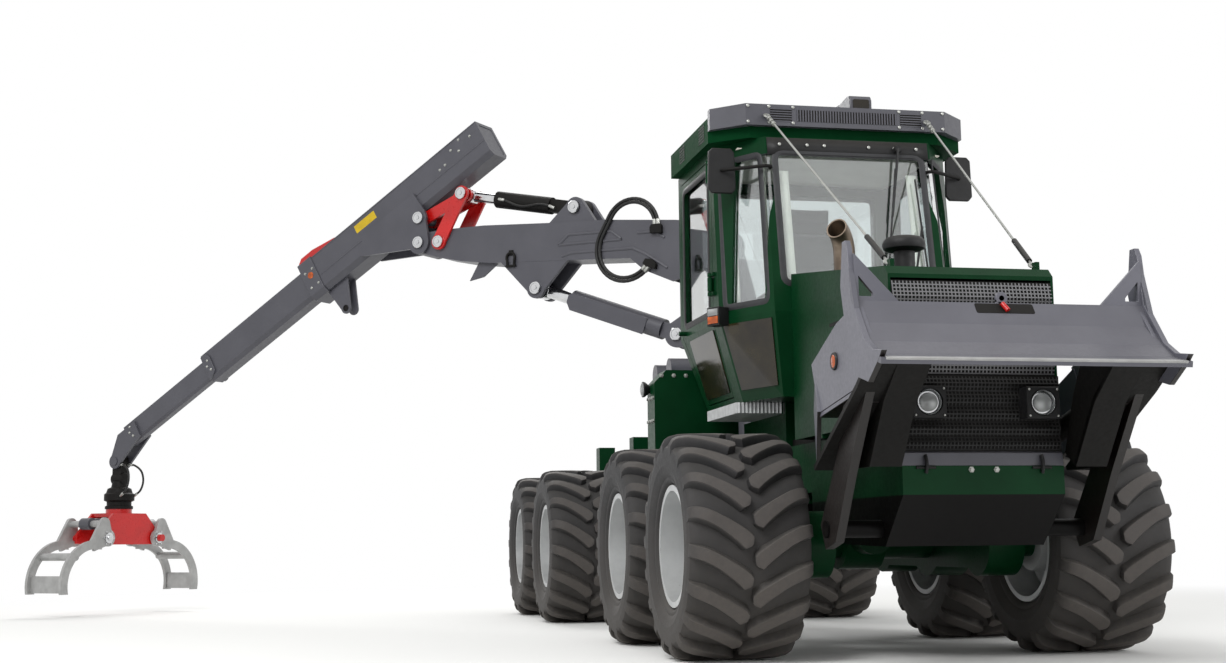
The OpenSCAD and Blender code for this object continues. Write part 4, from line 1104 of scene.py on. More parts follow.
@dataclass
class Cab:
    """Window seals, wipers, lining, lower panes, visor, roof lamp, mirrors, lamps and seat of the cab.

    Attributes:
        levels: Heights of the floor, the waist and the top of the walls.
        front_y: Y of the front wall at these heights.
        flank_x: X of the left side wall.
        rear_y: Y of the rear wall.
        front_edge: X where the front wall meets the left corner wall.
        side_edge: Y where the side wall meets it.
        corner_mid: Middle of the left front corner wall at the waist.
        corner_way: Direction along that wall.
    """

    levels: tuple[float, ...] = (1.33, 1.79, 2.79)
    front_y: tuple[float, ...] = (-2.25, -2.25, -2.08)
    flank_x: tuple[float, ...] = (0.58, 0.7, 0.7)
    rear_y: tuple[float, ...] = (-1.13, -0.95, -0.95)
    front_edge: tuple[float, ...] = (0.459, 0.494, 0.48)
    side_edge: tuple[float, ...] = (-1.89, -1.87, -1.76)
    corner_mid: tuple[float, float] = (0.597, -2.06)
    corner_way: tuple[float, float] = (0.4766, 0.8791)

    def front(self, x: Array, z: Array) -> Array:
        """Place points of the front wall by their X and height."""
        return np.stack([x, np.interp(z, self.levels, self.front_y), z], -1)

    def flank(self, y: Array, z: Array, side: Side) -> Array:
        """Place points of a side wall by their Y and height."""
        return np.stack([side.value * np.interp(z, self.levels, self.flank_x), y, z], -1)

    def rear(self, x: Array, z: Array) -> Array:
        """Place points of the rear wall by their X and height."""
        return np.stack([x, np.interp(z, self.levels, self.rear_y), z], -1)

    def corner(self, v: Array, z: Array, side: Side) -> Array:
        """Place points of a front corner wall by their distance along it and their height.

        Args:
            v: Distances along the waist's direction from the middle of the wall.
            z: Heights.
            side: Side of the machine.
        Returns:
            Points of the wall, which runs straight from the front edge to the side edge at each height.
        """
        a, b = (np.stack([np.interp(z, self.levels, x), np.interp(z, self.levels, y)], -1)
                for x, y in ((self.front_edge, self.front_y), (self.flank_x, self.side_edge)))
        way, mid = np.array(self.corner_way), np.array(self.corner_mid)
        va, vb = (a - mid) @ way, (b - mid) @ way
        q = a + ((v - va) / (vb - va))[:, None] * (b - a)
        return np.stack([side.value * q[:, 0], q[:, 1], z], -1)

    def windows(self) -> list[tuple[str, Array]]:
        """List each upper window as the body that carries it and its rounded outline on the wall.

        Returns:
            Pairs of a body's name and the outline's points.
        """
        def edge(corners: Sequence[Point], turn: float = 0.05) -> tuple[Array, Array]:
            """Round an outline and split it into its two measures."""
            q = rounded(corners, turn)
            return q[:, 0], q[:, 1]

        low, top = 1.85, 2.7
        screen = edge([(-0.43, 1.945), (0.43, 1.945), (0.43, top), (-0.43, top)])
        rear = edge([(-0.56, low), (0.56, low), (0.56, top), (-0.56, top)])
        corner = edge([(-0.165, low), (0.17, low), (0.255, 2.69), (-0.045, 2.69)], 0.035)
        flank = edge([(-1.69, low), (-1.05, low), (-1.05, top), (-1.69, top)])
        door = edge([(-1.66, low), (-1.07, low), (-1.07, 2.68), (-1.66, 2.68)])
        fixed = [self.front(*screen), self.rear(*rear), *[self.corner(*corner, side) for side in Side],
                 self.flank(*flank, Side.LEFT)]
        return [("front_frame", path) for path in fixed] + [("door", self.flank(*door, Side.RIGHT))]

    def seals(self) -> None:
        """Run a flat rubber seal round every upper window."""
        for body, name, finish in (("front_frame", "window_seals", Finish.SEAL),
                                   ("door", "door_seals", Finish.PLASTIC)):
            seal = Piece(name)
            for path in [path for carrier, path in self.windows() if carrier == body]:
                normal = np.cross(path[len(path) // 4] - path[0], path[len(path) // 2] - path[0])
                seal.join(loop(path, 0.019, 8, 0.26, normal))
            seal.place(body, finish, "black_plastic", 60)

    def wipers(self) -> None:
        """Hang one wiper over the windscreen and lay another from below: arms, blades and pivots."""
        def bar(x: Point, z: Point, n: int, lift: Point) -> Array:
            """Run a straight bar of n points over the windscreen."""
            return self.front(np.linspace(*x, n), np.linspace(*z, n)) + np.array(lift)

        wiper, way = Piece("wipers"), LEFTWARD
        arm = bar((0.285, 0.215), (2.735, 2.33), 9, (0, -0.03, 0.005))
        wiper.join(tube(arm, np.linspace(0.009, 0.005, 9), 8, way))
        wiper.join(tube(bar((0.262, 0.165), (2.62, 2.02), 11, (0, -0.016, 0.002)), 0.008, 6, way, 0.6))
        wiper.join(tube(bar((0.395, 0.372), (1.97, 2.56), 11, (0, -0.016, 0.002)), 0.008, 6, way, 0.6))
        wiper.join(tube(bar((0.38, 0.3), (2.28, 1.93), 7, (0, -0.03, 0.003)), 0.007, 8, way))
        cap = turned([(0.0, 0.0), (0.024, 0.0), (0.024, 0.022), (0.018, 0.034), (0.0, 0.036)], 16)
        wiper.join(stamped(cap, self.front(np.array([0.285, 0.3]), np.array([2.735, 1.93])), (0, -1, 0.17)))
        wiper.place("front_frame", Finish.PLASTIC, "black_plastic", 40)

    def lining(self) -> None:
        """Stand pale lining strips behind the windscreen's edges and the corner windows."""
        strip = Piece("pillar_lining")
        for side in Side:
            z = np.linspace(1.96, 2.6, 12)
            edges = [self.front(side.value * np.full(12, x), z) + np.array([0, 0.045, 0])
                     for x in (0.345, 0.405)]
            strip.join((np.stack(edges, 1).reshape(-1, 3), [quads(12, 2)]))
            z = np.linspace(1.87, 2.66, 12)
            f = (z - 1.85) / 0.84
            for v0, v1 in ((-0.15 + 0.12 * f, -0.128 + 0.12 * f), (0.1 + 0.085 * f, 0.15 + 0.085 * f)):
                inward = np.array([-side.value * 0.0396, 0.0214, 0])
                grid = np.stack([self.corner(v, z, side) + inward for v in (v0, v1)], 1)
                strip.join((grid.reshape(-1, 3), [quads(12, 2)]))
        strip.place("front_frame", Finish.LINING, "black_plastic", thick=0.008)

    def band(self) -> None:
        """Lay the dark band along the top of the windscreen, and set its screws and the visor's."""
        x, z = np.meshgrid(np.linspace(-0.47, 0.47, 13), np.array([2.688, 2.785]), indexing="ij")
        grid = self.front(x.ravel(), z.ravel()) + np.array([0, -0.004, 0])
        dark = Piece("screen_band").join((grid, [quads(13, 2)]))
        dark.place("front_frame", Finish.PLASTIC, "black_plastic", thick=0.006)
        screw = turned([(0.009, 0.0), (0.009, 0.004), (0.006, 0.006), (0.0, 0.006)], 10)
        x = np.array([-0.4, -0.24, -0.14, 0.12, 0.27, 0.4])
        places = self.front(x, np.full(len(x), 2.745)) + np.array([0, -0.009, 0])
        visor = np.array([[k * q, -2.0805, z] for k in (-1, 1) for q in (0.312, 0.45, 0.572)
                          for z in (2.872, 2.962)])
        face = Piece("cab_screws").join(stamped(screw, np.concatenate([places, visor]), AHEAD))
        face.place("front_frame", Finish.ZINC, "rod_chrome")

    def folded(self, s: Array, t: Array, side: Side) -> Array:
        """Place points of a lower front corner by their shares across and up.

        The wall is two triangles that meet on the line from the front edge's foot to the side edge's head. A
        point goes with the side's triangle where its share across is more than its share up.

        Args:
            s: Shares across, from the front edge to the side edge.
            t: Shares up, from the floor to the waist.
            side: Side of the machine.
        Returns:
            Points of the wall.
        """
        a0, a1 = np.stack([self.front_edge, self.front_y], -1)[:2]
        b0, b1 = np.stack([self.flank_x, self.side_edge], -1)[:2]
        s, t = s[:, None], t[:, None]
        q = a0 + np.where(s >= t, s * (b0 - a0) + t * (b1 - b0), t * (a1 - a0) + s * (b1 - a1))
        z = self.levels[0] + t * (self.levels[1] - self.levels[0])
        return np.concatenate([side.value * q[:, :1], q[:, 1:], z], -1)

    def lower_panes(self) -> None:
        """Bond smoked panes over the lower walls, almost out to their edges."""
        def sheet(wall: Array, out: Point) -> Shape:
            """Carry an outline on a wall from just inside it to 7 mm outside."""
            n, way = len(wall), np.asarray(out, float)
            k = np.arange(n)
            side = np.stack([k, (k + 1) % n, n + (k + 1) % n, n + k], -1)
            points = np.concatenate([wall - 0.004 * way, wall + 0.007 * way])
            return points, [side, k[None, ::-1], n + k[None]]

        fixed, moving = Piece("lower_panes"), Piece("door_lower_pane")
        s, t = np.meshgrid(np.linspace(0.06, 0.93, 25), np.linspace(0.14, 0.93, 25), indexing="ij")
        for side in Side:
            out = np.array([side.value * self.corner_way[1], -self.corner_way[0], -0.25])
            wall = self.folded(s.ravel(), t.ravel(), side)
            fixed.join((np.concatenate([wall + 0.007 * out, wall - 0.004 * out]), shell_faces(25, 25)))
        q = rounded([(-1.75, 1.395), (-1.18, 1.395), (-1.14, 1.765), (-1.75, 1.765)], 0.015)
        fixed.join(sheet(self.flank(q[:, 0], q[:, 1], Side.LEFT), (1, 0, -0.25)))
        q = rounded([(-1.705, 1.4), (-1.205, 1.4), (-1.16, 1.755), (-1.705, 1.755)], 0.015)
        moving.join(sheet(self.flank(q[:, 0], q[:, 1], Side.RIGHT), (-1, 0, -0.25)))
        fixed.place("front_frame", Finish.SMOKE, "pane_glass")
        moving.place("door", Finish.SMOKE, "pane_glass")

    def headliner(self) -> None:
        """Stretch the pale headliner under the roof, its height a shallow cosine arch across the cab."""
        x, y = np.meshgrid(np.linspace(-0.6, 0.6, 17), np.linspace(-1.95, -1.02, 9), indexing="ij")
        z = 2.752 + 0.018 * np.cos(np.pi * x / 1.2) * np.ones_like(y)
        grid = np.stack([x, y, z], -1).reshape(-1, 3)
        cloth = Piece("headliner").join((grid, [quads(17, 9)]))
        cloth.place("front_frame", Finish.LINING, "black_plastic", 40, thick=0.006)

    def roof_lamp(self) -> None:
        """Stand the lamp box on the visor, with a dark lens on its front."""
        side = [(-2.036, 2.9605), (-1.8385, 2.9605), (-1.8385, 3.0548), (-1.97, 3.068), (-2.018, 3.062),
                (-2.036, 3.035)]
        box = Piece("roof_lamp").join(upright(side, 0.04, 0.13))
        box.place("front_frame", Finish.GRAPHITE, "black_plastic", bevel=0.006)
        face = rounded([(0.058, 2.984), (0.152, 2.984), (0.152, 3.038), (0.058, 3.038)], 0.01)
        lens = Piece("roof_lamp_lens").join(prism(face, (0, -2.0358, 0), LEFTWARD, UP, 0.004))
        lens.place("front_frame", Finish.SMOKE, "lamp_lens")

    def visor(self) -> None:
        """Fit the visor's front with dark vent fields of painted shade behind bars, and the roof's sides with
        vent slits of painted shade.
        """
        field, bars = Piece("visor_fields"), Piece("visor_bars")
        front, back = -2.0828, -2.0795
        for x0, x1, z0, z1 in ((-0.289, 0.295, 2.883, 2.949), (0.318, 0.444, 2.88, 2.95),
                               (-0.444, -0.318, 2.88, 2.95)):
            field.join(slab((x0, -2.0808, z0), (x1, back, z1)))
        for x in np.linspace(-0.289, 0.287, 37):
            bars.join(slab((x, front, 2.883), (x + 0.008, back, 2.949)))
        for x in (0.381, -0.381):
            for z in np.linspace(2.878, 2.947, 6):
                bars.join(slab((x - 0.063, front, z), (x + 0.063, back, z + 0.006)))
        for side in Side:
            x = side.value * 0.7505
            for y in (-1.8, -1.33):
                for z in np.linspace(2.824, 2.909, 6):
                    field.join(slab((x - 0.0008, y, z), (x + 0.0008, y + 0.13, z + 0.009)))
        # Fields and slits are black sheets of painted shade for the vents' openings.
        field.place("front_frame", Finish.SOOT_AND_SHADE, "soot_paint")
        bars.place("front_frame", Finish.GRAPHITE, "graphite_paint")

    def mirrors(self) -> None:
        """Set the mirror heads on their bent arms, with a glass on the rear of each.

        A head's outline is a rectangle with cut corners, drawn in by 12 mm on its rear step and 14 mm on its
        glass.
        """
        def outline(inset: float) -> list[Point]:
            """List the corners of a head's outline drawn in by an inset."""
            w, h = 0.08 - inset, 0.128 - inset
            half = [(w - 0.022, -h), (w, -h + 0.026), (w - 0.006, h - 0.022), (w - 0.026, h)]
            return half + [(-x, z) for x, z in half[::-1]]

        head, arms, face = Piece("mirror_heads"), Piece("mirror_arms"), Piece("mirror_glass")
        high = 2.612
        bend = [(0.452, -2.08), (0.462, -2.12), (0.5, -2.126), (0.6, -2.058), (0.69, -1.998), (0.7, -1.978)]
        path = smooth_path([(x, y, high) for x, y in bend], 20)
        for side in Side:
            x = side.value * 0.7
            for piece, inset, y, depth in ((head, 0.0, -1.98, 0.0225), (head, 0.012, -1.958, 0.012),
                                           (face, 0.014, -1.944, 0.003)):
                piece.join(prism(outline(inset), (x, y, high), LEFTWARD, UP, -depth))
            arms.join(tube(path * np.array([side.value, 1.0, 1.0]), 0.01, 10, UP))
        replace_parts(head.place("front_frame", Finish.PLASTIC, "black_plastic", bevel=0.005), "mirrors")
        arms.place("front_frame", Finish.SOOT_AND_SHADE, "soot_paint", 40)
        face.place("front_frame", Finish.CHROME, "pane_glass", bevel=0.001)

    def lamps(self) -> None:
        """Set the boxes and lenses of the turn lamps and the shells and lenses of the side lamps."""
        way = np.array([*self.corner_way, 0.0])
        out = np.array([way[1], -way[0], 0.0])
        mid = np.array([*self.corner_mid, 0.0])
        rows = [("turn_lamp_box", Finish.PLASTIC, 1.748, 1.85, 0.008, 0.004, 0.074),
                ("turn_lens_clear", Finish.CLEAR, 1.802, 1.84, 0.0, 0.0775, 0.005),
                ("turn_lens_amber", Finish.AMBER, 1.758, 1.798, 0.0, 0.0775, 0.005)]
        for name, finish, low, high, rim, start, depth in rows:
            v0, v1 = 0.146 - rim, 0.226 + rim
            outline = [(v0, low), (v1, low), (v1, high), (v0, high)]
            lens = Piece(name)
            for side in Side:
                lens.join(mirrored(prism(outline, mid + start * out, way, UP, depth), side))
            lens.place("front_frame", finish, "lamp_lens", bevel=0.0015)
        dome = turned([(0.044, 0.0), (0.044, 0.004), (0.036, 0.011), (0.02, 0.016), (0.0, 0.0175)], 28)
        bowl = turned([(0.0, 0.0), (0.022, 0.0), (0.03, 0.01), (0.046, 0.03), (0.049, 0.043),
                       (0.046, 0.046), (0.043, 0.041), (0.0, 0.041)], 28)
        side_lamp, shells = Piece("side_lamp_lenses"), Piece("side_lamp_shells")
        for side in Side:
            side_lamp.join(stamped(dome, [(side.value * 0.905, -0.79, 1.5)], (side.value, 0, 0)))
            shells.join(stamped(bowl, [(side.value * 0.8645, -0.79, 1.5)], (side.value, 0, 0)))
        side_lamp.place("front_frame", Finish.CLEAR, "lamp_lens", 40)
        shells.place("front_frame", Finish.PLASTIC, "black_plastic", 40)

    def pad(self, name: str, centre: Point, size: Point, tilt: float, bulge: float, channels: int) -> None:
        """Sew one crowned pad: a cushioned box whose faces swell between its seams.

        Both faces are one grid whose sides bow a little. The upper one rises as one minus the fourth power
        of the distance from the middle, each way, less a shallow bell-shaped groove at each channel. Both
        fall to the seam over the last part of their width.

        Args:
            name: Name of the pad.
            centre: Middle of the pad.
            size: Width along X, length along the pad and thickness.
            tilt: Turn about X of the pad's length from level.
            bulge: How much the faces swell.
            channels: Sewn channels across the pad.
        """
        n, m = 33, 41
        u, v = np.meshgrid(np.linspace(-1, 1, n), np.linspace(-1, 1, m), indexing="ij")
        sag = np.cos(np.pi * v / 2) * np.abs(u) ** 6 + np.cos(np.pi * u / 2) * np.abs(v) ** 6
        sag = 1 - 0.05 * sag
        edge = np.clip((1 - u ** 8) * (1 - v ** 8), 0, 1) ** 0.35
        groove = 1 - 0.1 * np.exp(-((((v + 1) / 2 * channels) % 1.0 - 0.5) * 2 / 0.1) ** 2) * edge
        crown = (0.5 + bulge * (1 - u ** 4) * (1 - v ** 4)) * edge * groove
        x, y = u * sag * size[0] / 2, v * sag * size[1] / 2
        top = np.stack([x, y, crown * size[2]], -1)
        base = np.stack([x, y, -0.5 * size[2] * edge], -1)
        c, s = math.cos(tilt), math.sin(tilt)
        turn = np.array([[1, 0, 0], [0, c, s], [0, -s, c]])
        points = np.concatenate([top.reshape(-1, 3), base.reshape(-1, 3)]) @ turn + np.asarray(centre)
        piece = Piece(name).join((points, shell_faces(n, m)))
        piece.place("front_frame", Finish.CLOTH, "seat_fabric", 70)

    def seat(self) -> None:
        """Build the seat on its pedestal with arm rests, hand controls and the front console."""
        z = 1.372
        base = Piece("seat_base")
        pedestal = [(-1.7, 0.0), (-1.4, 0.0), (-1.43, 0.3), (-1.4, 0.345), (-1.76, 0.345), (-1.67, 0.3)]
        shell = [(-1.4, 0.36), (-1.3, 0.36), (-1.262, 0.93), (-1.3, 0.95)]
        rest = [(-1.4, 0.585), (-1.8, 0.568), (-1.85, 0.605), (-1.82, 0.63), (-1.4, 0.622)]
        console = [(-2.168, 0.0), (-2.168, 0.43), (-2.12, 0.538), (-2.032, 0.498), (-2.062, 0.4),
                   (-2.09, 0.0)]
        up = np.array([0.0, z])
        base.join(upright(np.array(pedestal) + up, -0.17, 0.34))
        base.join(upright(np.array(shell) + up, -0.205, 0.41))
        for k in (-1, 1):
            base.join(slab((k * 0.277 - 0.023, -1.48, z + 0.36), (k * 0.277 + 0.023, -1.4, z + 0.59)))
            base.join(upright(np.array(rest) + up, k * 0.308 - 0.036, 0.072))
            grip = smooth_path([(k * 0.308, -1.8, z + 0.625), (k * 0.308, -1.797, z + 0.68),
                                (k * 0.306, -1.806, z + 0.735), (k * 0.303, -1.818, z + 0.775)], 12)
            thick = np.interp(np.linspace(0, 1, 12), [0, 0.3, 0.45, 0.9, 1],
                              [0.01, 0.01, 0.022, 0.024, 0.014])
            base.join(tube(grip, thick, 12, LEFTWARD))
        base.join(upright(np.array(console) + up, -0.13, 0.26))
        made = base.place("front_frame", Finish.PLASTIC, "black_plastic", 35, bevel=0.008)
        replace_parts(made, "cab_interior")
        self.pad("seat_cushion", (0, -1.572, z + 0.398), (0.5, 0.5, 0.115), 0.03, 0.3, 3)
        self.pad("seat_backrest", (0, -1.392, z + 0.715), (0.47, 0.6, 0.105), math.radians(97), 0.28, 4)
        self.pad("seat_headrest", (0, -1.352, z + 1.08), (0.25, 0.17, 0.085), math.radians(96), 0.3, 1)

    def build(self) -> None:
        """Dress the cab from its windows to its seat."""
        self.seals()
        self.wipers()
        self.lining()
        self.band()
        self.lower_panes()
        self.headliner()
        self.roof_lamp()
        self.visor()
        self.mirrors()
        self.lamps()
        self.seat()


class Axis(Enum):
    """Faces of the crane's plates, by the sign of the crosswise measure."""

    NEAR = 1
    FAR = -1


@dataclass
class Crane:
    """Hoses with their ports, pin caps, shackle, ridges, bolts, plates and fittings of the crane.

    Attributes:
        hose_r: Radius of a large hose.
        arch_mid: Middle of the hose arcs over the boom's top.
        arch_r: Radius of the inner arc.
        loop_mid: Middle of the hanging hose loops.
        loop_r: Radius of the inner loop.
        gap: Air between two hoses and between a hose and the boom's side.
    """

    hose_r: float = 0.013
    arch_mid: tuple[float, float] = (0.7, 2.84)
    arch_r: float = 0.19
    loop_mid: tuple[float, float] = (0.749, 2.695)
    loop_r: float = 0.22
    gap: float = 0.0003

    def hoses(self) -> None:
        """Lay the two hose loops on the boom's side and the hose along the jib cylinder.

        A loop is an arc over the boom's top, a straight stretch and an arc that hangs and comes back.
        """
        w = 0.115 + self.hose_r + self.gap
        over = np.radians(np.linspace(180, 30, 18))
        under = np.radians(np.linspace(30, -140, 20))
        for number in range(2):
            shift = number * (2 * self.hose_r + self.gap)
            r, low = self.arch_r + shift, self.loop_r + shift
            along = np.concatenate([self.arch_mid[0] + r * np.cos(over),
                                    self.loop_mid[0] + low * np.cos(under)])
            up = np.concatenate([self.arch_mid[1] + r * np.sin(over),
                                 self.loop_mid[1] + low * np.sin(under)])
            out = w + np.concatenate([np.zeros(18), 0.01 * np.sin(np.linspace(0.1, 2.2, 20)) ** 2])
            hydraulic_hose(f"boom_hose_{number + 1}", LAY.crane(along, out, up), self.hose_r, "boom",
                           LAY.across(), "boom_hoses" if number == 0 else "")
        x = np.linspace(0.2, 0.7, 24)
        high = -0.02 + 0.016 * np.sin(2.5 * np.pi * (x - 0.2) / 0.5)
        side = np.sqrt(np.maximum(0.0745 ** 2 - high ** 2, 0.0))
        turn = math.atan2(0.212, 0.995)
        c, s = math.cos(turn), math.sin(turn)
        path = LAY.crane(1.194 + x * c - high * s, side, 3.052 + x * s + high * c)
        hydraulic_hose("jib_cylinder_hose", path, 0.009, "jib_barrel", LAY.across())

    def ports(self) -> None:
        """Seat the hose ends in a block on the boom's side at each end."""
        u, v = LAY.along(), UP
        piece = Piece("hose_ports")
        top = [(0.452, 2.775), (0.545, 2.782), (0.545, 2.828), (0.532, 2.846), (0.462, 2.846),
               (0.452, 2.832)]
        low = [(0.505, 2.515), (0.58, 2.54), (0.606, 2.566), (0.582, 2.6), (0.53, 2.59), (0.496, 2.552)]
        piece.join(prism(top, LAY.crane(0, 0.114, 0), u, v, -0.034))
        piece.join(prism(low, LAY.crane(0, 0.114, 0), u, v, -0.038))
        piece.place("boom", Finish.SOOT_AND_SHADE, "soot_paint", bevel=0.003)

    def caps(self) -> None:
        """Set a domed chrome cap with its own rim on both ends of every crane pin."""
        cap = turned([(0.0, 0.0), (0.046, 0.0), (0.047, 0.004), (0.047, 0.012), (0.043, 0.016),
                      (0.034, 0.016), (0.032, 0.012), (0.018, 0.012), (0.016, 0.018), (0.0, 0.019)], 36)
        pins = {"boom": [(0.04, 2.66, 0.123), (1.531, 2.469, 0.119)], "jib_barrel": [(1.194, 3.052, 0.119)],
                "knuckle_link": [(2.401, 2.904, 0.148), (2.189, 3.264, 0.148)],
                "lift_barrel": [(0.369, 2.04, 0.093)], "jib": [(2.588, 2.915, 0.15), (2.59, 3.112, 0.15)]}
        for body, spots in pins.items():
            piece = Piece(f"pin_caps_{body}")
            for face in Axis:
                places = np.array([LAY.crane(r, face.value * (w - 0.001), z) for r, z, w in spots])
                piece.join(stamped(cap, places, face.value * LAY.across()))
            piece.place(body, Finish.CHROME, "rod_chrome")

    def shackle(self) -> None:
        """Hang a bow shackle from the boom's side: a bent rod through two eyes."""
        t = np.linspace(-0.15 * np.pi, 1.15 * np.pi, 24)
        r, z, w = 1.745, 2.715, 0.126
        bow = LAY.crane(r + 0.036 * np.cos(t), w, z + 0.04 * np.sin(t))
        legs = [LAY.crane(r + 0.03, w, z - 0.07)], [LAY.crane(r - 0.03, w, z - 0.07)]
        path = np.concatenate([legs[0], bow, legs[1]])
        piece = Piece("boom_shackle").join(tube(path, 0.01, 10, LAY.across()))
        piece.join(tube(LAY.crane(np.array([r - 0.045, r, r + 0.045]), w, z - 0.062), 0.009, 10, UP))
        foot = [(-0.018, -0.02), (0.018, -0.02), (0.018, 0.02), (-0.018, 0.02)]
        piece.join(prism(foot, LAY.crane(r, 0.112, z + 0.04), LAY.along(), UP, -0.012))
        piece.place("boom", Finish.SOOT_AND_SHADE, "soot_paint", 40)

    def seams(self) -> None:
        """Run the pressed ridges of the boom's side and the folded seam of the jib's side."""
        boom = Piece("boom_ridges")
        for face in Axis:
            w = face.value * 0.1155
            for path in ([(1.33, 2.775), (1.24, 2.845), (0.88, 2.835), (0.79, 2.765), (1.33, 2.775)],
                         [(0.66, 2.8), (0.52, 2.795), (0.44, 2.745)],
                         [(1.3, 2.685), (1.22, 2.705), (0.7, 2.69), (0.6, 2.64), (0.42, 2.52)]):
                q = np.asarray(path)
                dense = np.concatenate([np.linspace(a, b, 8, endpoint=False) for a, b in zip(q[:-1], q[1:])]
                                       + [q[-1:]])
                boom.join(tube(LAY.crane(dense[:, 0], w, dense[:, 1]), 0.011, 6, LAY.across(), 0.8))
        boom.place("boom", Finish.GRAPHITE, "graphite_paint", 60)
        jib = Piece("jib_seams")
        for face in Axis:
            x = np.linspace(-0.885, 0.94, 12)
            jib.join(tube(LAY.jib(x, face.value * 0.1205, np.full(12, 0.352)), 0.0065, 6,
                          LAY.across(), 0.7))
            jib.join(tube(LAY.jib(x, face.value * 0.1195, np.full(12, 0.528)), 0.006, 6, LAY.across()))
        jib.place("jib", Finish.GRAPHITE, "graphite_paint", 60)

    def bolts(self) -> None:
        """Set the bolts of the jib's wear pads and of the extension collars."""
        head = turned([(0.012, 0.0), (0.012, 0.002), (0.0085, 0.002), (0.0085, 0.008), (0.0065, 0.0095),
                       (0.0, 0.0095)], 6)
        jib = Piece("jib_bolts")
        for face in Axis:
            x = np.array([-0.8, -0.7, -0.66, -0.6, -0.5, -0.44, 0.98, 1.06, 0.98, 1.06])
            z = np.array([0.46, 0.5, 0.42, 0.47, 0.4, 0.395, 0.3, 0.3, 0.44, 0.44])
            w = np.where(x > 0.95, 0.13, 0.12)
            jib.join(stamped(head, LAY.jib(x, face.value * w, z), face.value * LAY.across()))
        jib.place("jib", Finish.ZINC, "rod_chrome")
        for body, end, w in (("extension_1", 2.361, 0.099), ("extension_2", 3.4, 0.07)):
            piece = Piece(f"{body}_bolts")
            for face in Axis:
                x = np.array([end - 0.055, end - 0.03, end - 0.055])
                z = np.array([0.33, 0.374, 0.418])
                piece.join(stamped(head, LAY.jib(x, face.value * w, z), face.value * LAY.across()))
            piece.place(body, Finish.ZINC, "rod_chrome")

    def plates(self) -> None:
        """Fit the jib's end plate, its red guard and the blank markings."""
        along, up = LAY.jib_axes()
        end = [(-0.118, 0.252), (-0.082, 0.216), (0.082, 0.216), (0.118, 0.252), (0.118, 0.532),
               (-0.118, 0.532)]
        plate = Piece("jib_end_plate").join(prism(end, LAY.jib(-0.894, 0, 0), LAY.across(), up, 0.01))
        plate.place("jib", Finish.GRAPHITE, "graphite_paint", bevel=0.003)
        guard = [(0.65, 0.5345), (0.695, 0.56), (0.93, 0.604), (1.062, 0.604), (1.106, 0.575),
                 (1.106, 0.5345)]
        cover = Piece("jib_guard").join(prism(guard, LAY.jib(0, -0.0885, 0), along, up, -0.177))
        cover.place("jib", Finish.RED, "red_paint", bevel=0.005)
        strip = [(0.245, 0.43), (0.47, 0.43), (0.47, 0.498), (0.245, 0.498)]
        tape = Piece("marking_strip").join(prism(strip, LAY.jib(0, 0.1203, 0), along, up, 0.0012))
        tape.place("jib", Finish.YELLOW, "graphite_paint")
        disc = turned([(0.0, 0.0), (0.028, 0.0), (0.028, 0.0012), (0.0, 0.0013)], 28)
        spot = Piece("marking_disc").join(stamped(disc, [LAY.jib(1.02, 0.13, 0.4)], LAY.across()))
        spot.place("jib", Finish.AMBER, "graphite_paint")

    def fittings(self) -> None:
        """Weld the jib's lug with its eyes, the collar at the jib's end and the extension's cheeks."""
        along, up = LAY.jib_axes()
        t = np.radians(np.linspace(200, 372, 12))
        arc = [(0.896 + 0.046 * math.cos(k), 0.046 * math.sin(k)) for k in t]
        lug = Piece("jib_lug")
        for w in (0.04, -0.056):
            lug.join(prism([(0.76, 0.217), *arc, (0.98, 0.217)], LAY.jib(0, w, 0), along, up, -0.016))
        lug.place("jib", Finish.GRAPHITE, "graphite_paint", bevel=0.002)
        eye = turned([(0.0, 0.0), (0.026, 0.0), (0.026, 0.004), (0.022, 0.006), (0.02, 0.002),
                      (0.0, 0.002)], 28)
        ends = Piece("jib_lug_eyes")
        for face in Axis:
            ends.join(stamped(eye, [LAY.jib(0.896, face.value * 0.0555, 0.0)], face.value * LAY.across()))
        ends.place("jib", Finish.SOOT_AND_SHADE, "soot_paint")
        outer, inner = (np.array([(-w, top), (w, top), (w, low), (k, foot), (-k, foot), (-w, low)])
                        for w, top, low, k, foot in ((0.13, 0.544, 0.245, 0.09, 0.204),
                                                     (0.119, 0.533, 0.253, 0.081, 0.215)))
        collar = sleeve(LAY.jib(0.952, *outer.T), LAY.jib(0.952, *inner.T), 0.1505 * along)
        Piece("jib_collar").join(collar).place("jib", Finish.GRAPHITE, "graphite_paint", bevel=0.003)
        cheek = [(2.271, 0.304), (2.331, 0.264), (2.3615, 0.264), (2.3615, 0.484), (2.301, 0.484),
                 (2.271, 0.444)]
        cheeks = Piece("extension_cheeks")
        for w in (0.0845, -0.099):
            cheeks.join(prism(cheek, LAY.jib(0, w, 0), along, up, -0.0145))
        cheeks.place("extension_1", Finish.GRAPHITE, "graphite_paint", bevel=0.002)

    def lift_guard(self) -> None:
        """Bolt the side guard along the lift cylinder, whose slope comes from its rise and run."""
        turn = math.atan2(0.429, 1.162)
        c, s = math.cos(turn), math.sin(turn)
        ahead = LAY.crane(c, 0, s) - LAY.crane(0, 0, 0)
        above = LAY.crane(-s, 0, c) - LAY.crane(0, 0, 0)
        plate = [(0.27, -0.08), (0.92, -0.08), (0.965, -0.03), (0.965, 0.03), (0.93, 0.046), (0.27, 0.046)]
        guard = Piece("lift_guard").join(prism(plate, LAY.crane(0.369, 0.0753, 2.04), ahead, above, -0.005))
        guard.place("lift_barrel", Finish.GRAPHITE, "graphite_paint", bevel=0.003)

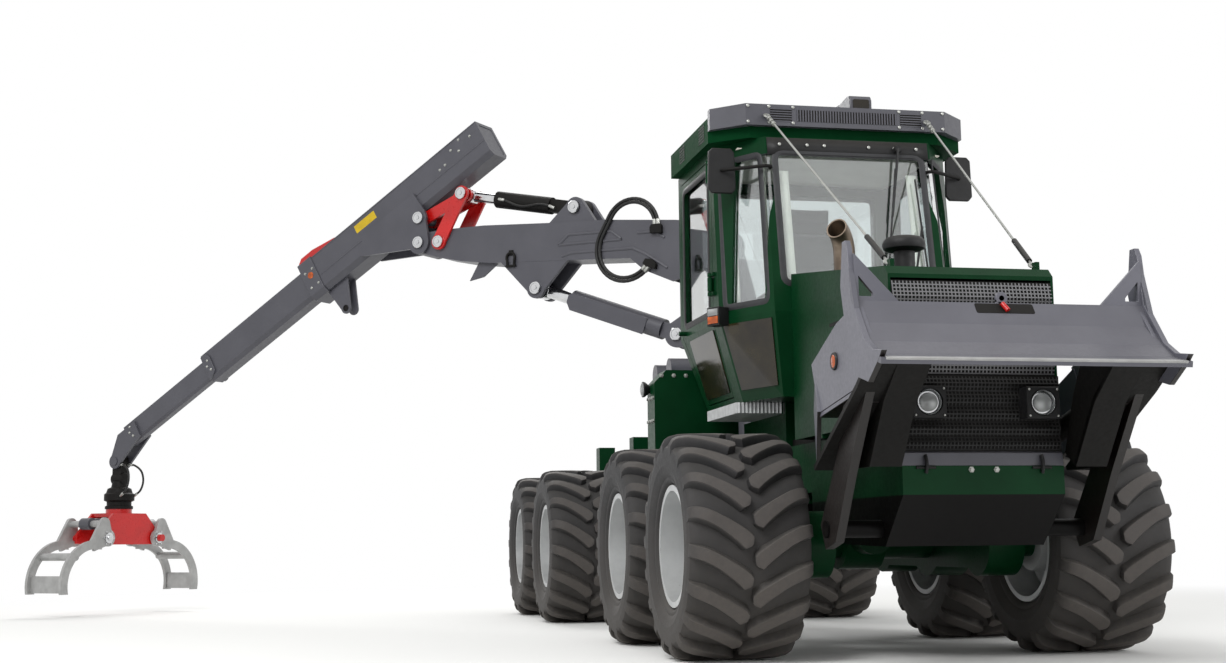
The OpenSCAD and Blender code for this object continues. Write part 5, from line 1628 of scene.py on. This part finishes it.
    def deflector(self) -> None:
        """Weld the bent deflector under the boom's outer end."""
        u, v = LAY.along(), UP
        outline = [(1.88, 2.7), (2.06, 2.725), (2.15, 2.579), (2.02, 2.6)]
        plate = Piece("boom_deflector").join(prism(outline, LAY.crane(0, 0.063, 0), u, v, -0.016))
        plate.place("boom", Finish.GRAPHITE, "graphite_paint", bevel=0.003)

    def build(self) -> None:
        """Dress the crane from its deflector to its guards."""
        self.deflector()
        self.hoses()
        self.ports()
        self.caps()
        self.shackle()
        self.seams()
        self.bolts()
        self.plates()
        self.fittings()
        self.lift_guard()


@dataclass
class Grapple:
    """Rotator housing, claw bosses and rotator hoses of the grapple."""

    def bosses(self) -> None:
        """Set a boss with a ring of screws on both ends of each claw pin."""
        cap = turned([(0.0, 0.0), (0.044, 0.0), (0.046, 0.004), (0.046, 0.014), (0.04, 0.018),
                      (0.026, 0.018), (0.024, 0.026), (0.0, 0.027)], 32)
        screw = turned([(0.008, 0.0), (0.008, 0.007), (0.0, 0.008)], 6)
        along = LAY.along()
        ring = np.linspace(0, 2 * np.pi, 6, endpoint=False)
        for body, w, u in (("claw_wide", 0.31, 0.21), ("claw_narrow", -0.31, 0.173)):
            piece = Piece(f"{body}_bosses")
            for k in (-1, 1):
                piece.join(stamped(cap, [LAY.grapple(k * (u - 0.001), w, 0.65)], k * along))
                places = LAY.grapple(k * (u - 0.001), w + 0.058 * np.cos(ring), 0.65 + 0.058 * np.sin(ring))
                piece.join(stamped(screw, places, k * along))
            piece.place(body, Finish.CHROME, "rod_chrome")

    def hoses(self) -> None:
        """Loop two hoses from the hanger's head round to the rotator."""
        route = [(-0.048, 0.045, 1.285), (-0.11, 0.062, 1.278), (-0.175, 0.078, 1.225),
                 (-0.192, 0.086, 1.14), (-0.16, 0.086, 1.06), (-0.095, 0.078, 1.012)]
        for number, k in enumerate((-1, 1)):
            path = smooth_path([LAY.grapple(u, k * w, z) for u, w, z in route], 28)
            hydraulic_hose(f"rotator_hose_{number + 1}", path, 0.009, "hanger", LAY.across())

    def head(self) -> None:
        """Turn the rotator's stepped housing under the hanger's eye and its cross pin."""
        tip = 1.311
        piece = Piece("hanger_head")
        housing = turned([(0.0, 0.9), (0.118, 0.9), (0.118, 0.924), (0.104, 0.93), (0.104, 0.962),
                          (0.128, 0.974), (0.128, 1.028), (0.112, 1.04), (0.1, 1.076), (0.07, 1.09),
                          (0.062, 1.14), (0.0, 1.14)], 40)
        along = LAY.along()
        piece.join(stamped(housing, [LAY.grapple(0, 0, 0)], UP))
        eye = turned([(0.0, -0.042), (0.055, -0.042), (0.058, -0.039), (0.058, 0.039), (0.055, 0.042),
                      (0.0, 0.042)], 32)
        piece.join(stamped(eye, [LAY.grapple(0, 0, tip)], LAY.across()))
        cross = turned([(0.0, -0.062), (0.048, -0.062), (0.052, -0.058), (0.052, 0.058), (0.048, 0.062),
                        (0.0, 0.062)], 32)
        piece.join(stamped(cross, [LAY.grapple(0, 0, tip - 0.15)], along))
        web = [(-0.05, tip - 0.15), (0.05, tip - 0.15), (0.05, tip), (-0.05, tip)]
        piece.join(prism(web, LAY.grapple(0, -0.041, 0), along, UP, -0.082))
        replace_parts(piece.place("hanger", Finish.SOOT_AND_SHADE, "soot_paint"), "hanger")

    def build(self) -> None:
        """Dress the grapple."""
        self.head()
        self.bosses()
        self.hoses()


@dataclass
class Blade:
    """End plates, side shields, corner webs, arm boxes, cutting edge, reflectors and hook of the blade."""

    def plates(self) -> None:
        """Weld the end plates, the side shields with their flanges, the corner webs and the lifting eye."""
        end = [(-4.345, 1.33), (-4.3, 1.29), (-4.178, 1.215), (-4.063, 1.245), (-4.0, 1.38), (-3.905, 1.51),
               (-3.865, 1.66), (-3.904, 1.8515), (-3.945, 1.8515), (-3.966, 1.815), (-4.0, 1.59),
               (-4.15, 1.4), (-4.24, 1.345)]
        shield = [(-4.028, 1.222), (-4.15, 1.38), (-3.99, 1.58), (-3.705, 1.521), (-3.345, 1.379),
                  (-3.437, 1.144)]
        flange = [(-4.028, 1.222), (-3.437, 1.144), (-3.437, 1.124), (-4.02, 1.2)]
        ledge = [(-3.99, 1.56), (-3.9, 1.54), (-3.9, 1.525), (-3.99, 1.54)]
        turn = math.radians(16)
        bent = np.array([math.cos(turn), math.sin(turn), 0.0])
        fold = [(-0.06, 1.15), (0.03, 1.372), (0.33, 1.18), (0.16, 0.93)]
        outer = np.array([(0.668, -3.988, h) for h in (1.56, 1.79)]
                         + [(0.465, -3.988, h) for h in (1.58, 1.56)])
        inner = np.array([(0.65, -3.988, h) for h in (1.604, 1.69)]
                         + [(0.588, -3.988, h) for h in (1.618, 1.604)])
        hinge = np.array([0.66, -3.405, 0.0]) - 0.02 * bent
        shapes = [upright(end, 0.666, 0.0246), upright(shield, 0.6405, 0.0195),
                  upright(flange, 0.545, 0.113), upright(ledge, 0.545, 0.113),
                  prism(fold, hinge, (-bent[1], bent[0], 0), UP, 0.02), sleeve(outer, inner, (0, 0.02, 0))]
        piece = Piece("blade_plates")
        for side in Side:
            for shape in shapes:
                piece.join(mirrored(shape, side))
        ring = turned([(0.014, -0.008), (0.028, -0.008), (0.028, 0.008), (0.014, 0.008), (0.014, -0.008)],
                      32)
        piece.join(stamped(ring, [(0.0, -3.985, 1.606)], (0, 1, 0)))
        foot = [(-0.04, 1.57), (0.04, 1.57), (0.024, 1.591), (-0.024, 1.591)]
        piece.join(prism(foot, (0, -3.977, 0), LEFTWARD, UP, 0.016))
        piece.place("blade", Finish.BOARD, "graphite_paint", 25, bevel=0.002)

    def boxes(self) -> None:
        """Fold the boxes behind the blade over both arms, black as painted shade, and sink the slot in its
        board as a black sheet of painted shade.
        """
        web = [(-4.185, 1.3), (-4.0, 1.155), (-3.8, 0.885), (-3.785, 0.897), (-3.985, 1.172),
               (-4.17, 1.318)]
        rib = [(-4.17, 1.318), (-3.96, 1.45), (-3.8, 1.2), (-3.7, 0.95), (-3.79, 0.89), (-3.99, 1.16)]
        tail = [(-4.185, 1.3), (-4.03, 1.2), (-3.44, 0.885), (-3.428, 0.903), (-4.02, 1.221),
                (-4.17, 1.318)]
        gusset = [(-4.185, 1.3), (-4.0, 1.155), (-3.8, 0.885), (-3.44, 0.885), (-4.03, 1.2)]
        box = Piece("arm_boxes")
        for side in Side:
            for outline, x, depth in ((web, 0.41, 0.136), (tail, 0.546, 0.1435), (rib, 0.41, 0.012),
                                      (gusset, 0.546, 0.012)):
                box.join(mirrored(upright(outline, x, depth), side))
        # The boxes take the black finish as painted shade for the shadow under the blade.
        box.place("blade", Finish.SOOT_AND_SHADE, "soot_paint")
        # The slot is a thin black sheet of painted shade for its opening.
        slot = rounded([(-0.13, 0.024), (0.14, 0.024), (0.14, 0.079), (-0.13, 0.079)], 0.01)
        sunk = prism(slot, (0, -4.0368, 1.5148), LEFTWARD, (0, 0.5547, 0.8321), 0.0015)
        Piece("board_slot").join(sunk).place("blade", Finish.SOOT_AND_SHADE, "soot_paint")

    def build(self) -> None:
        """Fit the plates, the boxes, the worn cutting edge, the amber reflectors and the red hook."""
        self.plates()
        self.boxes()
        edge = Piece("cutting_edge")
        section = [(-4.3335, 1.2915), (-4.3385, 1.2985), (-4.335, 1.3025), (-4.315, 1.3088),
                   (-4.314, 1.3066), (-4.33, 1.299)]
        edge.join(upright(section, -0.669, 1.338))
        edge.place("blade", Finish.CLAW, "graphite_paint", 25)
        ring = turned([(0.0, 0.0), (0.04, 0.0), (0.041, 0.004), (0.038, 0.01), (0.03, 0.01), (0.03, 0.006),
                       (0.0, 0.006)], 32)
        lens = turned([(0.0295, 0.0), (0.0295, 0.009), (0.022, 0.0125), (0.0, 0.0135)], 32)
        places = np.array([[k * 0.66, -3.68, 1.357] for k in (-1, 1)])
        ways = np.array([[k, 0, 0] for k in (-1, 1)])
        rings = Piece("reflector_rings").join(stamped(ring, places, ways))
        rings.place("blade", Finish.PLASTIC, "black_plastic")
        lenses = Piece("reflector_lenses").join(stamped(lens, places, ways))
        lenses.place("blade", Finish.AMBER, "lamp_lens", 40)
        hook = np.linspace((0.012, -4.026, 1.548), (-0.004, -4.004, 1.581), 6)
        Piece("red_hook").join(tube(hook, 0.0115, 14, LEFTWARD)).place("blade", Finish.RED, "red_paint", 40)


@dataclass
class Chassis:
    """Wire fittings, box bolts, nose latches, exhaust, air intake and step teeth of the front unit."""

    def wires(self) -> None:
        """Fit an eye and clamps at the visor, an eye at the hood and a rubber sleeve to both limb wires."""
        piece, sleeves = Piece("wire_fittings"), Piece("wire_sleeves")
        for side in Side:
            a = np.array([side.value * 0.47, -2.08385, 2.915])
            b = np.array([side.value * 0.355, -3.5811, 1.824])
            way = (b - a) / np.linalg.norm(b - a)
            clamp = turned([(0.0, -0.012), (0.012, -0.012), (0.0135, -0.008), (0.0135, 0.008),
                            (0.012, 0.012), (0.0, 0.012)], 10)
            at = np.array([0.06, 0.1, 0.14])
            piece.join(stamped(clamp, a + at[:, None] * way, way))
            eye = np.linspace(0, 2 * np.pi, 20, endpoint=False)[:, None]
            across = np.cross(way, UP)
            across /= np.linalg.norm(across)
            ring = a + 0.022 * way + 0.02 * np.cos(eye) * way + 0.016 * np.sin(eye) * across
            piece.join(loop(ring, 0.006, 8, 1.0, np.cross(way, across)))
            ring = b - 0.01 * way + 0.02 * np.cos(eye) * way + 0.015 * np.sin(eye) * across
            piece.join(loop(ring, 0.007, 8, 1.0, np.cross(way, across)))
            share = np.array([0.03, 0.07, 0.11, 0.15])[:, None]
            sleeves.join(tube(b + share * (a - b), 0.014, 12, LEFTWARD))
        piece.place("front_frame", Finish.ZINC, "steel_wire", 40)
        sleeves.place("front_frame", Finish.HOSE, "hose_rubber", 40)

    def bolts(self) -> None:
        """Set bolt rows on the side boxes and the nose, and the rubber latches of the nose strip."""
        head = turned([(0.014, 0.0), (0.014, 0.003), (0.0095, 0.003), (0.0095, 0.01), (0.0075, 0.0115),
                       (0.0, 0.0115)], 6)
        piece = Piece("box_bolts")
        y = np.linspace(-0.9, -0.76, 4)
        for side in Side:
            k = side.value
            places = np.concatenate([np.stack([np.full(4, k * 0.8652), y, np.full(4, h)], -1)
                                     for h in (1.1, 1.3, 1.44)])
            piece.join(stamped(head, places, (k, 0, 0)))
            front = np.stack([k * np.linspace(0.44, 0.82, 6), np.full(6, -0.9302), np.full(6, 1.575)], -1)
            piece.join(stamped(head, front, AHEAD))
        nose = np.array([[x, LAY.nose_y - 0.0002, 0.875] for x in (-0.06, 0.06)])
        piece.join(stamped(head, nose, AHEAD))
        piece.place("front_frame", Finish.ZINC, "rod_chrome")
        latch = Piece("nose_latches")
        for k in (-1, 1):
            x = k * 0.275
            path = smooth_path([(x, -3.738, 0.936), (x, -3.75, 0.915), (x, -3.752, 0.885),
                                (x, -3.7415, 0.862)], 10)
            latch.join(tube(path, 0.013, 10, LEFTWARD, 0.6))
            latch.join(tube(np.array([[x - 0.045, -3.742, 0.884], [x, -3.742, 0.884],
                                      [x + 0.045, -3.742, 0.884]]), 0.006, 8, UP))
        latch.place("front_frame", Finish.PLASTIC, "black_plastic", 40)

    def stack(self) -> None:
        """Bend the open exhaust pipe and turn the cap of the air intake.

        The pipe's middle goes up, then round an arc; its wall is one skin folded back inside the mouth.
        """
        n = 22
        turn = np.radians(np.concatenate([np.zeros(4), np.linspace(0, 68, n - 4)]))
        rise = np.concatenate([np.linspace(1.86, 1.99, 4), np.full(n - 4, 2.005)])
        ahead = np.array([-math.sqrt(0.5), -math.sqrt(0.5), 0.0])
        up, side = np.array([0.0, 0.0, 1.0]), np.array([math.sqrt(0.5), -math.sqrt(0.5), 0.0])
        mid = np.array([-0.29, -2.8, 0.0]) + rise[:, None] * up
        mid = mid + 0.13 * (1 - np.cos(turn))[:, None] * ahead + 0.13 * np.sin(turn)[:, None] * up
        out = np.cos(turn)[:, None] * ahead - np.sin(turn)[:, None] * up
        order = np.concatenate([np.arange(n), np.arange(n - 1, n - 12, -1)])
        radius = np.concatenate([np.full(n, 0.055), np.full(10, 0.048), [0.001]])
        t = np.linspace(0, 2 * np.pi, 36, endpoint=False)
        ring = np.cos(t)[:, None] * out[order][:, None] + np.sin(t)[:, None] * side
        grid = mid[order][:, None] + radius[:, None, None] * ring
        pipe = Piece("exhaust_pipe").join((grid.reshape(-1, 3), [quads(len(order), 36, False, True)]))
        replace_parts(pipe.place("front_frame", Finish.EXHAUST, "rod_chrome", 40), "exhaust")
        cap = turned([(0.0, 0.0), (0.055, 0.0), (0.055, 0.128), (0.084, 0.132), (0.106, 0.142),
                      (0.112, 0.162), (0.108, 0.184), (0.092, 0.2), (0.06, 0.208), (0.0, 0.21)], 40)
        intake = Piece("intake_cap").join(stamped(cap, [(0.07, -2.7, 1.915)], UP))
        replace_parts(intake.place("front_frame", Finish.PLASTIC, "black_plastic", 40), "air_intake")

    def treads(self) -> None:
        """Cut the steps' outer and front edges as rows of teeth."""
        x, y = np.linspace(0.35, 0.61, 25), np.linspace(-1.879, -1.241, 53)
        outer = [(0.6, y[0]), *[(0.611 + 0.009 * (k % 2), v) for k, v in enumerate(y)], (0.6, y[-1])]
        front = [(x[0], -1.876), *[(u, -1.8805 - 0.01 * (k % 2)) for k, u in enumerate(x)], (x[-1], -1.876)]
        piece = Piece("step_teeth")
        for outline in (outer, front):
            for side in Side:
                piece.join(mirrored(prism(outline, (0, 0, 1.2705), LEFTWARD, (0, 1, 0), 0.0588), side))
        piece.place("front_frame", Finish.ALUMINIUM, "rod_chrome")

    def build(self) -> None:
        """Dress the front unit's frame."""
        self.wires()
        self.bolts()
        self.stack()
        self.treads()


@dataclass
class Dressing:
    """Finishes of the machine's solids, node by node."""

    finishes: dict[str, Finish]

    def apply(self, nodes: dict[str, bpy.types.Object]) -> None:
        """Give every solid its finish.

        Args:
            nodes: Solids by name.
        """
        for name, item in nodes.items():
            finish = next(value for key, value in self.finishes.items() if name.startswith(key))
            if not item.material_slots:
                item.data.materials.append(material_of(finish))
            for place in item.material_slots:
                place.material = material_of(finish)
            LOG.info("solid %s in %s", name, finish.value.name)


@dataclass
class Studio:
    """Pale floor, soft lamps, white world and the camera.

    Attributes:
        eye: Camera's place.
        yaw: Turn of the view from straight back, towards the machine's left.
        pitch: Rise of the view.
        roll: Roll of the view.
        width_px: Width of the picture in pixels.
        focal_px: Focal length in its pixels.
        zoom: Share of that focal length that is used, so that the tyres' feet stay in the picture.
        lower_px: How far the picture's frame is let down.
    """

    eye: tuple[float, float, float] = (-3.0113, -10.4981, 0.5712)
    yaw: float = math.radians(11.199)
    pitch: float = math.radians(7.902)
    roll: float = math.radians(-0.573)
    width_px: float = 1226.0
    focal_px: float = 1644.31
    zoom: float = 0.985
    lower_px: float = 14.0

    def camera(self) -> None:
        """Set the camera by its eye, its three turns and its focal length."""
        data = bpy.data.cameras.new("camera")
        data.sensor_fit, data.sensor_width = "HORIZONTAL", 36.0
        data.lens = self.focal_px * self.zoom * data.sensor_width / self.width_px
        data.shift_y = -self.lower_px / self.width_px
        data.clip_end = 200.0
        level = math.cos(self.pitch)
        ahead = Vector((math.sin(self.yaw) * level, math.cos(self.yaw) * level, math.sin(self.pitch)))
        right = Vector((math.cos(self.yaw), -math.sin(self.yaw), 0.0))
        up = right.cross(ahead)
        turned_right = right * math.cos(self.roll) + up * math.sin(self.roll)
        turned_up = up * math.cos(self.roll) - right * math.sin(self.roll)
        item = bpy.data.objects.new("camera", data)
        bpy.context.scene.collection.objects.link(item)
        matrix = Matrix((turned_right, turned_up, -ahead)).transposed().to_4x4()
        matrix.translation = Vector(self.eye)
        item.matrix_world = matrix
        bpy.context.scene.camera = item

    def floor(self) -> None:
        """Lay a pale floor that fades to white with distance and keeps the shadow."""
        mesh = bpy.data.meshes.new("floor")
        mesh.from_pydata([(-60, -60, 0), (60, -60, 0), (60, 60, 0), (-60, 60, 0)], [], [(0, 1, 2, 3)])
        item = bpy.data.objects.new("floor", mesh)
        bpy.context.scene.collection.objects.link(item)
        material, tree = new_material("pale_floor")
        place = add(tree, "TexCoord").outputs["Object"]
        far = add(tree, "VectorMath", {"operation": "LENGTH"}, {0: place})
        fade = add(tree, "MapRange", {"From Min": 5.0, "From Max": 11.0,
                                      "interpolation_type": "SMOOTHSTEP"}, {"Value": far.outputs["Value"]})
        share = maths(tree, "MULTIPLY", fade.outputs[0], seen_rays(tree))
        matt = add(tree, "BsdfDiffuse", {"Color": linear("#f2f2f0")})
        white = add(tree, "Emission", {"Strength": 1.0})
        both = add(tree, "MixShader", None, {0: share, 1: matt.outputs[0], 2: white.outputs[0]})
        add(tree, "OutputMaterial", None, {"Surface": both.outputs[0]})
        mesh.materials.append(material)

    def lights(self) -> None:
        """Hang a broad key lamp, a fill and a rim lamp, and set a white world that lights softly."""
        for name, place, aim, size, watts in (("key", (-7.0, -8.0, 9.5), (0.0, -1.5, 1.2), 6.0, 900.0),
                                              ("fill", (8.0, -8.5, 5.0), (0.0, -2.5, 1.2), 6.0, 380.0),
                                              ("rim", (-2.0, 9.0, 8.0), (-1.5, 1.5, 1.8), 6.0, 500.0)):
            data = bpy.data.lights.new(name, "AREA")
            data.shape, data.size, data.energy = "DISK", size, watts
            item = bpy.data.objects.new(name, data)
            bpy.context.scene.collection.objects.link(item)
            item.location = place
            item.rotation_euler = (Vector(aim) - Vector(place)).to_track_quat("-Z", "Y").to_euler()
        world = bpy.data.worlds.new("white_studio")
        bpy.context.scene.world = world
        world.use_nodes = True
        tree = world.node_tree
        tree.nodes.clear()
        level = add(tree, "MapRange", {"To Min": 0.6, "To Max": 1.0}, {"Value": seen_rays(tree)})
        sky = add(tree, "Background", {"Color": (1.0, 1.0, 1.0, 1.0)}, {"Strength": level.outputs[0]})
        add(tree, "OutputWorld", None, {"Surface": sky.outputs[0]})

    def build(self) -> None:
        """Set the camera, the floor and the light."""
        self.camera()
        self.floor()
        self.lights()
        bpy.context.scene.view_settings.view_transform = "Standard"


SOLIDS = Dressing({"front_frame": Finish.FRAME, "front_bogies": Finish.GREEN, "engine": Finish.IRON,
                   "hood": Finish.GREEN, "grilles": Finish.SOOT_AND_SHADE, "lamps": Finish.PLASTIC,
                   "exhaust": Finish.EXHAUST, "air_intake": Finish.PLASTIC, "cab_frame": Finish.GREEN,
                   "cab_roof": Finish.ROOF, "roof_visor": Finish.GRAPHITE, "cab_glass": Finish.GLASS,
                   "cab_interior": Finish.PLASTIC, "mirrors": Finish.PLASTIC, "steps": Finish.ALUMINIUM,
                   "side_boxes": Finish.GREEN, "limb_wires": Finish.ZINC, "door_glass": Finish.GLASS,
                   # The blade's barrels take the black finish as painted shade, so that they vanish in the
                   # shadow under the blade.
                   "door": Finish.GREEN, "blade_rods": Finish.CHROME, "blade_barrels": Finish.SOOT_AND_SHADE,
                   "blade": Finish.ARM, "rear_frame": Finish.GREEN, "rear_bogies": Finish.GREEN,
                   "bolsters": Finish.GREEN, "slew_base": Finish.GRAPHITE, "column": Finish.GRAPHITE,
                   "boom_hoses": Finish.HOSE, "boom": Finish.GRAPHITE, "lift_barrel": Finish.GRAPHITE,
                   "lift_rod": Finish.CHROME, "jib_barrel": Finish.SOOT_AND_SHADE, "jib_rod": Finish.CHROME,
                   "knuckle": Finish.RED, "jib": Finish.GRAPHITE, "extension": Finish.GRAPHITE,
                   "hanger": Finish.PLASTIC, "grapple_body": Finish.RED, "claw": Finish.CLAW,
                   "grapple_barrel": Finish.GRAPHITE, "grapple_rod": Finish.CHROME, "tyre": Finish.TYRE,
                   "rim": Finish.RIM})


def main() -> None:
    """Load the solids, dress them and build each sub-assembly in order."""
    logging.basicConfig(level=logging.INFO, format="%(name)s: %(message)s")
    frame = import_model()
    Studio().build()
    SOLIDS.apply(frame["nodes"])
    for part in (Crane(), Wheels(), Nose(), Cab(), Grapple(), Blade(), Chassis()):
        part.build()
        LOG.info("built %s", type(part).__name__)


if __name__ == "__main__":
    main()
